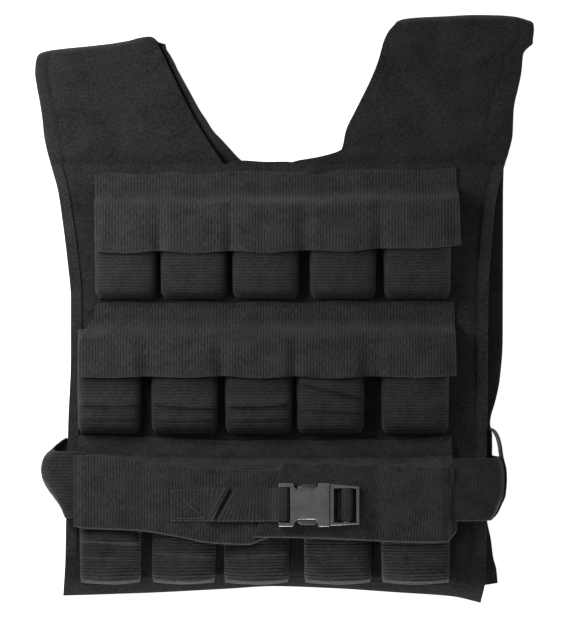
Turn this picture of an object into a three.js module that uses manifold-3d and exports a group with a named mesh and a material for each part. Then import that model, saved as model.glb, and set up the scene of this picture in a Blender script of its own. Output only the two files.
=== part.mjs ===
// Weighted training vest, lying flat with its front up.
// Millimetres. +X is across the vest, +Y runs from the hem to the shoulders, +Z is up off the floor.
import * as THREE from 'three';
import { mergeVertices } from 'three/addons/utils/BufferGeometryUtils.js';
import Module from 'manifold-3d';

// Clearances and cloth
const layerGap = 0.3;
const tuckGap = 1;
const panelThickness = 3;
const webbingThickness = 2;
const beltThickness = 2;
const tapeThickness = 1;
const torsoGap = 8;

// Weights and the pockets that hold them
const weightWidth = 50;
const weightLength = 76;
const weightThickness = 18;
const weightChamfer = 2;
const weightSeat = 8;
const pocketEase = 4.3;
const pocketSlack = 1;
const pocketCrown = 1;
const pocketCorner = 4.5;
const pocketEndRun = 5;
const pocketSpacing = 7.8;
const looseEnd = 18;
const pocketColumns = 5;

// Flaps that close the pockets
const flapHeight = 76;
const flapStitchDrop = 19;
const flapLead = 26;
const flapDip = 3.4;
const flapOverhang = 1;

// Body margins around the pockets
const bindingClear = 2.5;
const marginRight = 36.6;
const hemMargin = 13.3;
const rowGap = 2.9;
const topMargin = 8.6;
const bindingWidth = 7.5;

// Shoulder straps
const leftStrapLength = 112;
const rightStrapLength = 139;
const leftStrapTilt = 13;
const rightStrapTilt = 2;

// Waist belt
const beltWidth = 61;
const beltHeight = 104;
const wingWidth = 71;
const leftReach = 26;
const rightReach = 12.5;
const wingOverlap = 4;
const wingEndSlant = 29;
const wingRamp = 14;
const leftWingDrop = 4;
const rightWingDrop = 12;
const leftWingSlope = -0.074;
const rightWingSlope = -0.022;
const bandTuck = 18;
const keeperWidth = 16;
const keeperThickness = 1.5;

// Narrow strap and side-release buckle
const strapWidth = 32;
const strapThickness = 1.5;
const strapSewnLength = 35;
const strapFreeLength = 69;
const pleatHeight = 2.5;
const buckleDrop = 3.8;
const buckleThickness = 9;
const buckleRail = 3.5;
const buckleEase = 1;
const buckleWall = 2;
const buckleBarWidth = 6.8;
const buckleBarHeight = 3.4;
const buckleSlotWidth = 4.2;
const buckleBodyLength = 37.3;
const buckleFrameLength = 27.5;
const buckleJoint = 0.6;
const prongRoot = 1;
const prongArm = 5;
const prongStep = 1.4;
const guideWidth = 6;

// The three rows from the top down. loose is the spare pocket length as a share of looseEnd, flap the
// flap's height as a share of flapHeight, inset and stretch place the row in shares of the pocket pitch,
// and drift and width are each pocket's own offset and width in shares of the pitch and pocket width.
const rowTable = [
  { loose: 0.57, flap: 1.01, inset: 0.24, stretch: 0.974,
    drift: [0, -0.087, -0.09, -0.024, 0], width: [0.93, 1, 1, 1, 1.01] },
  { loose: 0.86, flap: 0.94, inset: 0, stretch: 1.027,
    drift: [0, -0.03, -0.06, -0.122, 0], width: [0.95, 1, 1.01, 1.02, 1.01] },
  { loose: 1.59, flap: 1, inset: 0.03, stretch: 1.02,
    drift: [0, -0.04, -0.092, -0.026, 0], width: [0.92, 0.95, 0.98, 1.01, 1.03] },
];

// Outline of the body by height above the hem, in shares of the body's length, with how far each edge
// stands outside the plain half width, in shares of the body's width.
const bodyEdges = [
  { up: 0, front: [0.013, -0.012], back: [0.004, 0.022] },
  { up: 0.09, front: [0.008, -0.003], back: [0, 0.02] },
  { up: 0.16, front: [0.003, 0], back: [-0.006, 0] },
  { up: 0.34, front: [0.001, 0.001], back: [-0.006, 0] },
  { up: 0.45, front: [-0.001, 0.002], back: [-0.006, 0.024] },
  { up: 0.62, front: [-0.003, 0.003], back: [-0.008, 0.037] },
  { up: 0.82, front: [0.006, 0.012], back: [-0.001, 0.038] },
  { up: 0.93, front: [0.023, 0.022], back: [0.016, 0.038] },
  { up: 1, front: [0.041, 0.042], back: [0.034, 0.042] },
];

// The hem's wave across the body, with its rise in shares of hemMargin.
const hemWave = [
  { across: 0, rise: 0 },
  { across: 0.21, rise: 0.2 },
  { across: 0.39, rise: 0.5 },
  { across: 0.5, rise: 0.7 },
  { across: 0.64, rise: 0.55 },
  { across: 0.8, rise: 0.2 },
  { across: 0.92, rise: 0 },
  { across: 1, rise: -0.55 },
];

// Shoulder straps by height above the seam in shares of the strap's length. outer and the two necks
// are distances from the middle line in shares of the body's width.
const leftStrapRows = [
  { up: 0, outer: -0.541, front: -0.1, back: -0.093 },
  { up: 0.05, outer: -0.545, front: -0.135, back: -0.098 },
  { up: 0.28, outer: -0.558, front: -0.176, back: -0.154 },
  { up: 0.53, outer: -0.568, front: -0.214, back: -0.195 },
  { up: 0.79, outer: -0.579, front: -0.254, back: -0.238 },
  { up: 0.95, outer: -0.574, front: -0.292, back: -0.272 },
  { up: 1, outer: -0.566, front: -0.306, back: -0.296 },
];
const rightStrapRows = [
  { up: 0, outer: 0.541, front: 0.043, back: 0.06 },
  { up: 0.045, outer: 0.544, front: 0.095, back: 0.11 },
  { up: 0.09, outer: 0.547, front: 0.145, back: 0.15 },
  { up: 0.24, outer: 0.557, front: 0.161, back: 0.166 },
  { up: 0.5, outer: 0.57, front: 0.209, back: 0.212 },
  { up: 0.7, outer: 0.582, front: 0.238, back: 0.24 },
  { up: 0.9, outer: 0.607, front: 0.266, back: 0.266 },
  { up: 1, outer: 0.598, front: 0.296, back: 0.296 },
];

// How far the belt's turn stands out at each side, across its width from its upper edge.
const leftLobe = [
  { across: 0, reach: 0.45 },
  { across: 0.16, reach: 0.92 },
  { across: 0.36, reach: 1 },
  { across: 0.56, reach: 0.78 },
  { across: 0.8, reach: 0.36 },
  { across: 1, reach: 0.08 },
];
const rightLobe = [
  { across: 0, reach: 0.94 },
  { across: 0.3, reach: 1 },
  { across: 0.6, reach: 1 },
  { across: 0.82, reach: 0.62 },
  { across: 1, reach: 0.14 },
];
// The turn itself, from under the back to the top of the pockets: out is a share of the reach and up
// a share of the height climbed.
const turnPath = [
  { out: 0.1, up: 0 },
  { out: 0.78, up: 0.13 },
  { out: 1, up: 0.36 },
  { out: 0.96, up: 0.6 },
  { out: 0.62, up: 0.84 },
];

// Sizes that follow from the ones above
const marginLeft = bindingWidth + bindingClear;
const pocketWidth = weightWidth + 2 * (webbingThickness + pocketEase);
const pocketPitch = pocketWidth + pocketSpacing;
const pocketDepth = weightThickness + pocketSlack + webbingThickness;
const rowHeights = rowTable.map((row) => flapLead + weightSeat + weightLength + looseEnd * row.loose);
const rowSpan = Math.max(...rowTable.map((row) => (row.inset + (pocketColumns - 1) * row.stretch)
  * pocketPitch + row.width[pocketColumns - 1] * pocketWidth));
const bodyWidth = marginLeft + rowSpan + marginRight;
const bodyHalf = bodyWidth / 2;
const bodyLength = hemMargin + topMargin + rowGap * (rowTable.length - 1)
  + rowHeights.reduce((sum, height) => sum + height, 0);

const backTop = panelThickness;
const frontBottom = backTop + torsoGap;
const frontTop = frontBottom + panelThickness;
const sewnLevel = frontTop + layerGap;
const coverTop = pocketDepth + pocketCrown + layerGap;
const wingLift = webbingThickness + layerGap;
const overlapLift = beltThickness + layerGap;
const buckleLevel = sewnLevel + coverTop + wingLift + 2 * overlapLift;

const canvas = new THREE.MeshStandardMaterial({ color: 0x232426, roughness: 0.95, metalness: 0 });
const webbing = new THREE.MeshStandardMaterial({ color: 0x2b2c2d, roughness: 0.9, metalness: 0 });
const plastic = new THREE.MeshStandardMaterial({ color: 0x3a3b3b, roughness: 0.4, metalness: 0 });
const iron = new THREE.MeshStandardMaterial({ color: 0x4a4b4c, roughness: 0.7, metalness: 0.6 });

const vest = new THREE.Group();

function addPiece(name, geometry, material) {
  const mesh = new THREE.Mesh(geometry, material);
  mesh.name = name;
  vest.add(mesh);
}

// Straight-line reading of a table of rows at a place along one of its columns.
function readTable(table, placeColumn, valueColumn, place) {
  const next = Math.max(1, table.findIndex((row) => row[placeColumn] >= place));
  const index = table[table.length - 1][placeColumn] < place ? table.length - 1 : next;
  const from = table[index - 1];
  const to = table[index];
  const share = (place - from[placeColumn]) / (to[placeColumn] - from[placeColumn]);
  return THREE.MathUtils.lerp(from[valueColumn], to[valueColumn], THREE.MathUtils.clamp(share, 0, 1));
}

// A closed body between two equal grids of points, joined all round their rims.
function closeGrids(upper, lower) {
  const rows = upper.length;
  const columns = upper[0].length;
  const corners = [...upper.flat(), ...lower.flat()];
  const at = (side, row, column) => (side * rows + row) * columns + column;
  const triangles = [];
  const addQuad = (a, b, c, d) => triangles.push([a, b, c], [a, c, d]);
  for (let row = 0; row < rows - 1; row += 1) {
    for (let column = 0; column < columns - 1; column += 1) {
      addQuad(at(0, row, column), at(0, row, column + 1), at(0, row + 1, column + 1), at(0, row + 1, column));
      triangles.push([at(1, row, column), at(1, row + 1, column + 1), at(1, row, column + 1)]);
      triangles.push([at(1, row, column), at(1, row + 1, column), at(1, row + 1, column + 1)]);
    }
  }
  for (let column = 0; column < columns - 1; column += 1) {
    addQuad(at(1, 0, column), at(1, 0, column + 1), at(0, 0, column + 1), at(0, 0, column));
    addQuad(at(0, rows - 1, column), at(0, rows - 1, column + 1),
      at(1, rows - 1, column + 1), at(1, rows - 1, column));
  }
  for (let row = 0; row < rows - 1; row += 1) {
    addQuad(at(0, row, 0), at(0, row + 1, 0), at(1, row + 1, 0), at(1, row, 0));
    addQuad(at(1, row, columns - 1), at(1, row + 1, columns - 1),
      at(0, row + 1, columns - 1), at(0, row, columns - 1));
  }
  return solidFrom(corners, triangles);
}

function solidFrom(corners, triangles) {
  const volume = triangles.reduce((sum, [a, b, c]) => sum
    + corners[a].dot(new THREE.Vector3().crossVectors(corners[b], corners[c])), 0);
  const facing = volume < 0 ? triangles.map(([a, b, c]) => [a, c, b]) : triangles;
  const geometry = new THREE.BufferGeometry();
  geometry.setAttribute('position', new THREE.Float32BufferAttribute(
    corners.flatMap((corner) => corner.toArray()), 3));
  geometry.setIndex(facing.flat());
  return geometry;
}

// Cloth of even thickness about a grid of points on its middle surface.
function clothAbout(middle, thickness) {
  const last = middle.length - 1;
  const end = middle[0].length - 1;
  const offset = (row, column, distance) => {
    const alongRow = middle[Math.min(row + 1, last)][column].clone()
      .sub(middle[Math.max(row - 1, 0)][column]);
    const alongColumn = middle[row][Math.min(column + 1, end)].clone()
      .sub(middle[row][Math.max(column - 1, 0)]);
    const normal = alongColumn.cross(alongRow).normalize();
    return middle[row][column].clone().addScaledVector(normal, distance);
  };
  const side = (distance) => middle.map((points, row) => points.map((point, column) => (
    offset(row, column, distance))));
  return closeGrids(side(thickness / 2), side(-thickness / 2));
}

// Cloth that lies on a surface: its underside is a grid of points and its thickness is upright.
function clothOn(underside, thickness) {
  const upper = underside.map((points) => points.map((point) => (
    new THREE.Vector3(point.x, point.y, point.z + thickness))));
  return closeGrids(upper, underside);
}

function evenShares(count) {
  return Array.from({ length: count + 1 }, (unused, index) => index / count);
}

// Outline of the body panels

function panelEdge(side, height, panel) {
  const share = readTable(bodyEdges.map((row) => ({ up: row.up, out: row[panel][side] })), 'up', 'out',
    height / bodyLength);
  return (side === 0 ? -1 : 1) * (bodyHalf + share * bodyWidth);
}

function addPanels() {
  const across = hemWave.map((row) => row.across);
  const front = bodyEdges.map(({ up }) => across.map((share) => {
    const rise = readTable(hemWave, 'across', 'rise', share) * hemMargin;
    const height = Math.max(up * bodyLength, 0);
    const left = panelEdge(0, height, 'front');
    const right = panelEdge(1, height, 'front');
    const lift = up === 0 ? rise : 0;
    return new THREE.Vector3(THREE.MathUtils.lerp(left, right, share), height + lift, frontBottom);
  }));
  addPiece('front_panel', clothOn(front, panelThickness), canvas);

  // The back steps up over the belt that runs under it.
  const bandLow = beltHeight - beltWidth / 2 - tuckGap;
  const bandHigh = beltHeight + beltWidth / 2 + tuckGap + leftBandRise();
  const step = beltThickness + layerGap;
  const stepRun = 3 * step;
  const lifts = [
    { height: hemMargin * 0.7, lift: 0 },
    { height: bandLow - stepRun, lift: 0 },
    { height: bandLow, lift: step },
    { height: bandHigh, lift: step },
    { height: bandHigh + stepRun, lift: 0 },
    { height: bodyLength, lift: 0 },
  ];
  const heights = [...lifts.map((row) => row.height),
    ...bodyEdges.map((row) => row.up * bodyLength).filter((height) => height > bandHigh + 2 * stepRun
      && height < bodyLength)].sort((a, b) => a - b);
  const back = heights.map((height) => evenShares(4).map((share) => new THREE.Vector3(
    THREE.MathUtils.lerp(panelEdge(0, height, 'back'), panelEdge(1, height, 'back'), share),
    height, readTable(lifts, 'height', 'lift', height))));
  addPiece('back_panel', clothOn(back, panelThickness), canvas);
}

function addBindings() {
  for (const [name, side] of [['edge_binding_left', 0], ['edge_binding_right', 1]]) {
    const inward = side === 0 ? 1 : -1;
    const tape = bodyEdges.slice(1).map(({ up }) => {
      const height = Math.min(up * bodyLength, bodyLength - layerGap);
      const edge = panelEdge(side, height, 'front') + inward * layerGap;
      return [0, bindingWidth - layerGap].map((distance) => new THREE.Vector3(
        edge + inward * distance, height, sewnLevel));
    });
    addPiece(name, clothOn(tape, tapeThickness), webbing);
  }
}

// Shoulder straps, each one strip that folds over the shoulder from the front to the back

function addStrap(name, rows, length, tilt) {
  const seam = bodyLength + layerGap;
  const frontMiddle = frontBottom + panelThickness / 2;
  const backMiddle = panelThickness / 2;
  const foldRadius = (frontMiddle - backMiddle) / 2;
  const foldSteps = 5;
  const stations = [
    ...rows.map((row) => ({ up: row.up, turn: 0, neck: row.front, outer: row.outer })),
    ...evenShares(foldSteps).slice(1, -1).map((share) => ({ up: 1, turn: share,
      neck: THREE.MathUtils.lerp(rows[rows.length - 1].front, rows[rows.length - 1].back, share),
      outer: rows[rows.length - 1].outer })),
    ...rows.slice().reverse().map((row) => ({ up: row.up, turn: 1, neck: row.back, outer: row.outer })),
  ];
  const middle = stations.map((station) => evenShares(4).map((share) => {
    const x = THREE.MathUtils.lerp(station.outer, station.neck, share) * bodyWidth;
    const reach = length - foldRadius + tilt * (share - 0.5);
    const angle = Math.PI * (0.5 - station.turn);
    return new THREE.Vector3(x,
      seam + station.up * reach + foldRadius * Math.cos(angle),
      (frontMiddle + backMiddle) / 2 + foldRadius * Math.sin(angle));
  }));
  addPiece(name, clothAbout(middle, panelThickness), canvas);
}

// Pockets and weights

function rowTop(row) {
  const above = rowHeights.slice(0, row).reduce((sum, height) => sum + height, 0);
  return bodyLength - topMargin - above - row * rowGap;
}

function pocketSpan(row, column) {
  const { inset, stretch, drift, width } = rowTable[row];
  const left = -bodyHalf + marginLeft + (inset + column * stretch + drift[column]) * pocketPitch;
  return { left, right: left + width[column] * pocketWidth };
}

// Section of a pocket across the vest, from one foot over the top to the other.
function pocketSection(halfWidth, height, crown) {
  const corner = Math.min(pocketCorner, 0.45 * height);
  const half = [
    { out: halfWidth, up: 0 },
    { out: halfWidth, up: height - corner },
    { out: halfWidth - 0.3 * corner, up: height - 0.3 * corner },
    { out: halfWidth - corner, up: height },
  ];
  const left = half.map((point) => ({ out: -point.out, up: point.up }));
  return [...left, { out: 0, up: height + crown }, ...half.reverse()];
}

function addPocket(row, column) {
  const { left, right } = pocketSpan(row, column);
  const middleX = (left + right) / 2;
  const halfWidth = (right - left) / 2;
  const open = rowTop(row) - flapLead;
  const length = rowHeights[row] - flapLead;
  const weightEnd = weightSeat + weightLength;
  const fold = (length - pocketEndRun - weightEnd) / 2;
  const profile = [
    { down: 0, lift: 0.45 },
    { down: weightSeat - tuckGap, lift: 1 },
    { down: weightEnd + tuckGap / 2, lift: 1 },
    { down: weightEnd + fold, lift: row === 0 ? 0.97 : 0.86 },
    { down: length - pocketEndRun * 0.5, lift: 0.72 },
    { down: length, lift: 0.16 },
  ];
  const grid = (wall) => profile.map(({ down, lift }, index) => {
    const height = pocketDepth * lift - wall;
    const inset = index > 3 ? wall : 0;
    return pocketSection(halfWidth - wall, height, pocketCrown * lift).map((point) => (
      new THREE.Vector3(middleX + point.out, open - down + inset, sewnLevel + point.up)));
  });
  addPiece(`pocket_r${row + 1}_c${column + 1}`, closeGrids(grid(0), grid(webbingThickness)), webbing);
}

function addWeight(row, column) {
  const { left, right } = pocketSpan(row, column);
  const outline = new THREE.Shape();
  const half = weightWidth / 2 - weightChamfer / 2;
  const reach = weightLength / 2 - weightChamfer / 2;
  const cut = weightChamfer;
  outline.moveTo(-half + cut, -reach);
  outline.lineTo(half - cut, -reach);
  outline.lineTo(half, -reach + cut);
  outline.lineTo(half, reach - cut);
  outline.lineTo(half - cut, reach);
  outline.lineTo(-half + cut, reach);
  outline.lineTo(-half, reach - cut);
  outline.lineTo(-half, -reach + cut);
  outline.closePath();
  const bar = new THREE.ExtrudeGeometry(outline, {
    depth: weightThickness - weightChamfer, bevelEnabled: true, bevelSegments: 1,
    bevelSize: weightChamfer / 2, bevelThickness: weightChamfer / 2,
  });
  bar.translate((left + right) / 2, rowTop(row) - flapLead - weightSeat - weightLength / 2,
    sewnLevel + weightChamfer / 2);
  addPiece(`weight_r${row + 1}_c${column + 1}`, joinedGeometry(bar), iron);
}

function joinedGeometry(geometry) {
  geometry.deleteAttribute('normal');
  geometry.deleteAttribute('uv');
  return mergeVertices(geometry, 1e-4);
}

// Height of cloth laid over a row of pockets, at its breaks: it sinks between one pocket and the next.
function coverBreaks(row) {
  const spans = evenShares(pocketColumns - 1).map((unused, column) => pocketSpan(row, column));
  const breaks = spans.flatMap(({ left, right }, column) => {
    const before = column === 0 ? left - tuckGap : (spans[column - 1].right + left) / 2;
    return [
      { x: before, height: coverTop - flapDip },
      { x: left, height: coverTop - 0.45 * flapDip },
      { x: left + pocketCorner, height: coverTop },
      { x: right - pocketCorner, height: coverTop },
      { x: right, height: coverTop - 0.45 * flapDip },
    ];
  });
  breaks.push({ x: spans[pocketColumns - 1].right + tuckGap, height: coverTop - flapDip });
  return breaks;
}

function coverAt(row, x) {
  return readTable(coverBreaks(row), 'x', 'height', x);
}

// Flaps: sewn flat along the top, then up over the weights and down over the pockets.
function addFlap(name, row) {
  const top = rowTop(row);
  const height = flapHeight * rowTable[row].flap;
  const climb = flapLead + weightSeat - flapStitchDrop;
  const profile = [
    { down: 0, lift: 0 },
    { down: flapStitchDrop, lift: 0 },
    { down: flapStitchDrop + climb * 0.42, lift: 0.55 },
    { down: flapStitchDrop + climb * 0.9, lift: 1 },
    { down: (flapLead + weightSeat + height) / 2, lift: 1 },
    { down: height, lift: 1 },
  ];
  const breaks = coverBreaks(row);
  breaks[0].x = pocketSpan(row, 0).left - flapOverhang;
  const underside = profile.map(({ down, lift }) => breaks.map(({ x, height: cover }) => (
    new THREE.Vector3(x, top - down, sewnLevel + cover * lift))));
  addPiece(name, clothOn(underside, webbingThickness), webbing);
}

// Waist belt: a band under the back, a turn at each side and two wings that cross on the front

function leftBandRise() {
  return beltWidth * 0.06;
}

const beltRow = rowTable.length - 1;
const rowLeft = pocketSpan(beltRow, 0).left;
const rowRight = pocketSpan(beltRow, pocketColumns - 1).right;
const leftWingStart = rowLeft - flapOverhang - 5 * tuckGap;
const rightWingEnd = rowRight + flapOverhang + 6 * tuckGap;
const middlePocket = pocketSpan(beltRow, Math.floor(pocketColumns / 2));
const rightWingCorner = middlePocket.right - pocketCorner - 2 * tuckGap;
const rightWingStart = rightWingCorner - wingEndSlant / 2;
const buckleStart = rightWingCorner - 3 * tuckGap;

// Buckle sizes along the strap, from the webbing bar to the end of the ladder frame
const barMiddle = buckleThickness / 2;
const slotHalf = strapWidth / 2 + buckleEase;
const buckleHalf = slotHalf + buckleRail;
const bodyStart = buckleBarWidth + buckleSlotWidth;
const bodyEnd = bodyStart + buckleBodyLength;
const frameStart = bodyEnd + buckleJoint;
const frameEnd = frameStart + buckleFrameLength;
const notchDepth = 0.33 * buckleHalf;
const leftWingEnd = buckleStart + frameEnd + wingOverlap;

function wingMiddle(side, x) {
  const start = beltHeight - (side === 'left' ? leftWingDrop : rightWingDrop);
  const slope = side === 'left' ? leftWingSlope : rightWingSlope;
  const from = side === 'left' ? leftWingStart : buckleStart;
  return start + slope * (x - from);
}

function addWing(name, side, from, to, startSkew, extraBreaks, liftAt) {
  const breaks = [from, to, ...extraBreaks, ...coverBreaks(beltRow).map((row) => row.x)]
    .filter((x) => x >= from && x <= to && (x === from || x - from > Math.abs(startSkew) / 2 + 1))
    .sort((a, b) => a - b)
    .filter((x, index, list) => index === 0 || x - list[index - 1] > 0.05);
  const underside = breaks.map((x, index) => evenShares(2).map((share) => {
    const skewed = index === 0 ? x + startSkew * (share - 0.5) : x;
    return new THREE.Vector3(skewed, wingMiddle(side, skewed) + wingWidth * (share - 0.5),
      sewnLevel + coverAt(beltRow, skewed) + wingLift + liftAt(skewed));
  }));
  addPiece(name, clothOn(underside, beltThickness), webbing);
}

function addBeltTurn(name, side, reach, lobe, rise, innerTop, innerUnder) {
  const out = side === 'left' ? -1 : 1;
  const base = beltThickness / 2;
  const coverEnd = coverTop - flapDip;
  const top = sewnLevel + coverEnd + wingLift - layerGap - beltThickness / 2;
  const clear = bodyHalf + 1.5 * tuckGap + beltThickness / 2;
  const shoulder = side === 'left' ? leftWingStart : rightWingEnd;
  const middle = lobe.map(({ across, reach: share }) => {
    const path = [
      { x: innerUnder, z: base, rise: 0 },
      ...turnPath.map((step) => ({ x: clear + reach * share * step.out,
        z: base + (top - base) * step.up, rise: step.up })),
      { x: Math.abs(shoulder) + (clear - Math.abs(shoulder)) * 0.45, z: top - 1.5, rise: 1 },
      { x: Math.abs(innerTop), z: top, rise: 1 },
    ];
    return path.map((point) => new THREE.Vector3(out * point.x,
      beltHeight + beltWidth * (0.5 - across) + rise * point.rise, point.z));
  });
  addPiece(name, clothAbout(middle, beltThickness), webbing);
}

function addBelt() {
  const half = bodyHalf - bandTuck;
  const band = [-half, half].map((x) => [-0.5, 0.5].map((share) => (
    new THREE.Vector3(x, beltHeight + beltWidth * share, 0))));
  addPiece('belt_back', clothOn(band, beltThickness), webbing);
  addBeltTurn('belt_turn_left', 'left', leftReach - 1.5 * tuckGap - beltThickness, leftLobe,
    leftBandRise(), rowLeft - flapOverhang - tuckGap, half + layerGap);
  addBeltTurn('belt_turn_right', 'right', rightReach - 1.5 * tuckGap - beltThickness, rightLobe,
    -0.03 * beltWidth, rowRight + flapOverhang + tuckGap, half + layerGap);
  addWing('belt_wing_left', 'left', leftWingStart, leftWingEnd, 0, [], () => 0);
  const liftTable = [
    { x: leftWingEnd + tuckGap, lift: overlapLift },
    { x: leftWingEnd + tuckGap + wingRamp, lift: 0 },
  ];
  addWing('belt_wing_right', 'right', rightWingStart, rightWingEnd, wingEndSlant,
    liftTable.map((row) => row.x), (x) => readTable(liftTable, 'x', 'lift', x));
}

// The keeper, a loop of narrow tape on edge that holds the belt's turn to the right side.
function addKeeper() {
  const outside = bodyHalf + rightReach + 2 * layerGap + keeperThickness / 2;
  const start = bodyHalf + 2.6 * tuckGap;
  const route = [
    { x: start, y: beltHeight + beltWidth * 0.94 },
    { x: start + (outside - start) * 0.5, y: beltHeight + beltWidth * 0.88 },
    { x: start + (outside - start) * 0.88, y: beltHeight + beltWidth * 0.7 },
    { x: outside, y: beltHeight + beltWidth * 0.48 },
    { x: outside, y: beltHeight - beltWidth * 0.22 },
    { x: start + (outside - start) * 0.8, y: beltHeight - beltWidth * 0.5 },
    { x: start, y: beltHeight - beltWidth * 0.64 },
  ];
  const low = panelThickness + beltThickness + 4 * layerGap;
  const middle = route.map(({ x, y }) => [low, low + keeperWidth].map((z) => new THREE.Vector3(x, y, z)));
  addPiece('belt_keeper', clothAbout(middle, keeperThickness), webbing);
}

// Buckle, in its own frame: x from the webbing bar towards the ladder frame, y across, z up

const manifoldModule = await Module();
manifoldModule.setup();

function asManifold(geometry) {
  const joined = joinedGeometry(geometry);
  return new manifoldModule.Manifold(new manifoldModule.Mesh({
    numProp: 3,
    vertProperties: new Float32Array(joined.attributes.position.array),
    triVerts: new Uint32Array(joined.index.array),
  }));
}

function fromManifold(solid) {
  const mesh = solid.getMesh();
  const geometry = new THREE.BufferGeometry();
  geometry.setAttribute('position', new THREE.Float32BufferAttribute(mesh.vertProperties, 3));
  geometry.setIndex(Array.from(mesh.triVerts));
  return geometry;
}

function boxSolid(x, y, z) {
  const box = new THREE.BoxGeometry(x[1] - x[0], y[1] - y[0], z[1] - z[0]);
  box.translate((x[0] + x[1]) / 2, (y[0] + y[1]) / 2, (z[0] + z[1]) / 2);
  return asManifold(box);
}

function plateSolid(outline, low, high, bevel) {
  const plate = new THREE.ExtrudeGeometry(outline, {
    depth: high - low - 2 * bevel, curveSegments: 3, bevelEnabled: bevel > 0,
    bevelSegments: 1, bevelSize: bevel, bevelOffset: -bevel, bevelThickness: bevel,
  });
  plate.translate(0, 0, low + bevel);
  return asManifold(plate);
}

function buildFemale() {
  const outline = new THREE.Shape();
  const notchStart = bodyStart + 0.07 * buckleBodyLength;
  const notchEnd = bodyStart + 0.72 * buckleBodyLength;
  const ramp = 0.12 * buckleBodyLength;
  const deep = buckleHalf - notchDepth;
  outline.moveTo(0, -buckleHalf);
  outline.lineTo(notchStart, -buckleHalf);
  outline.quadraticCurveTo(notchStart + 0.4 * ramp, -deep, notchStart + 1.3 * ramp, -deep);
  outline.lineTo(notchEnd - ramp, -deep);
  outline.quadraticCurveTo(notchEnd - 0.2 * ramp, -deep, notchEnd, -buckleHalf);
  outline.lineTo(bodyEnd, -buckleHalf);
  outline.lineTo(bodyEnd, buckleHalf);
  outline.lineTo(notchEnd, buckleHalf);
  outline.quadraticCurveTo(notchEnd - 0.2 * ramp, deep, notchEnd - ramp, deep);
  outline.lineTo(notchStart + 1.3 * ramp, deep);
  outline.quadraticCurveTo(notchStart + 0.4 * ramp, deep, notchStart, buckleHalf);
  outline.lineTo(0, buckleHalf);
  outline.closePath();
  const past = 1;
  return plateSolid(outline, 0, buckleThickness, 0.7)
    .subtract(boxSolid([buckleBarWidth, bodyStart], [-slotHalf, slotHalf], [-past, buckleThickness + past]))
    .subtract(boxSolid([-past, buckleBarWidth + past], [-slotHalf, slotHalf],
      [-past, barMiddle - buckleBarHeight / 2]))
    .subtract(boxSolid([-past, buckleBarWidth + past], [-slotHalf, slotHalf],
      [barMiddle + buckleBarHeight / 2, buckleThickness + past]))
    .subtract(boxSolid([bodyStart + 2 * buckleWall, bodyEnd + past],
      [-buckleHalf + buckleWall, buckleHalf - buckleWall], [buckleWall, buckleThickness - buckleWall]));
}

function buildMale() {
  const prongLow = buckleWall + layerGap;
  const prongHigh = buckleThickness - buckleWall - layerGap;
  const prongOut = buckleHalf - buckleWall - layerGap;
  const tip = bodyStart + 0.16 * buckleBodyLength;
  const pad = bodyStart + 0.28 * buckleBodyLength;
  const prong = (sign) => {
    const outline = new THREE.Shape();
    outline.moveTo(frameStart + prongRoot, sign * (prongOut - prongArm));
    outline.lineTo(pad, sign * (prongOut - 1.2 * prongArm));
    outline.lineTo(tip, sign * (prongOut - prongArm));
    outline.quadraticCurveTo(tip, sign * prongOut, pad, sign * prongOut);
    outline.lineTo(bodyStart + 0.6 * buckleBodyLength, sign * (prongOut - 0.08 * prongArm));
    outline.lineTo(bodyStart + 0.7 * buckleBodyLength, sign * (prongOut - prongStep));
    outline.lineTo(frameStart + prongRoot, sign * (prongOut - 0.2 * prongArm));
    outline.closePath();
    return plateSolid(outline, prongLow, prongHigh, 0);
  };
  const guide = boxSolid([bodyStart + 0.4 * buckleBodyLength, frameStart + prongRoot],
    [-guideWidth / 2, guideWidth / 2], [prongLow, prongHigh]);
  const frameHalf = buckleHalf - 0.8;
  const rail = frameHalf - slotHalf;
  const barStart = frameStart + 0.46 * buckleFrameLength;
  const barEnd = barStart + 0.2 * buckleFrameLength;
  const baseEnd = frameStart + 0.12 * buckleFrameLength;
  const outline = new THREE.Shape();
  outline.moveTo(frameStart, -frameHalf);
  outline.lineTo(frameEnd, -frameHalf + 0.5 * rail);
  outline.lineTo(frameEnd, frameHalf - rail * 0.9);
  outline.lineTo(frameStart, frameHalf);
  outline.closePath();
  const past = 1;
  const window = (x0, x1) => boxSolid([x0, x1], [-slotHalf, slotHalf - 1], [-past, buckleThickness + past]);
  return plateSolid(outline, 1, buckleThickness - 1, 0.5)
    .subtract(window(baseEnd, barStart))
    .subtract(window(barEnd, frameEnd - rail))
    .subtract(boxSolid([barStart - past, barEnd + past], [-slotHalf, slotHalf - 1],
      [-past, barMiddle - buckleBarHeight / 2]))
    .subtract(boxSolid([barStart - past, barEnd + past], [-slotHalf, slotHalf - 1],
      [barMiddle + buckleBarHeight / 2, buckleThickness + past]))
    .add(prong(1))
    .add(prong(-1))
    .add(guide);
}

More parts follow.
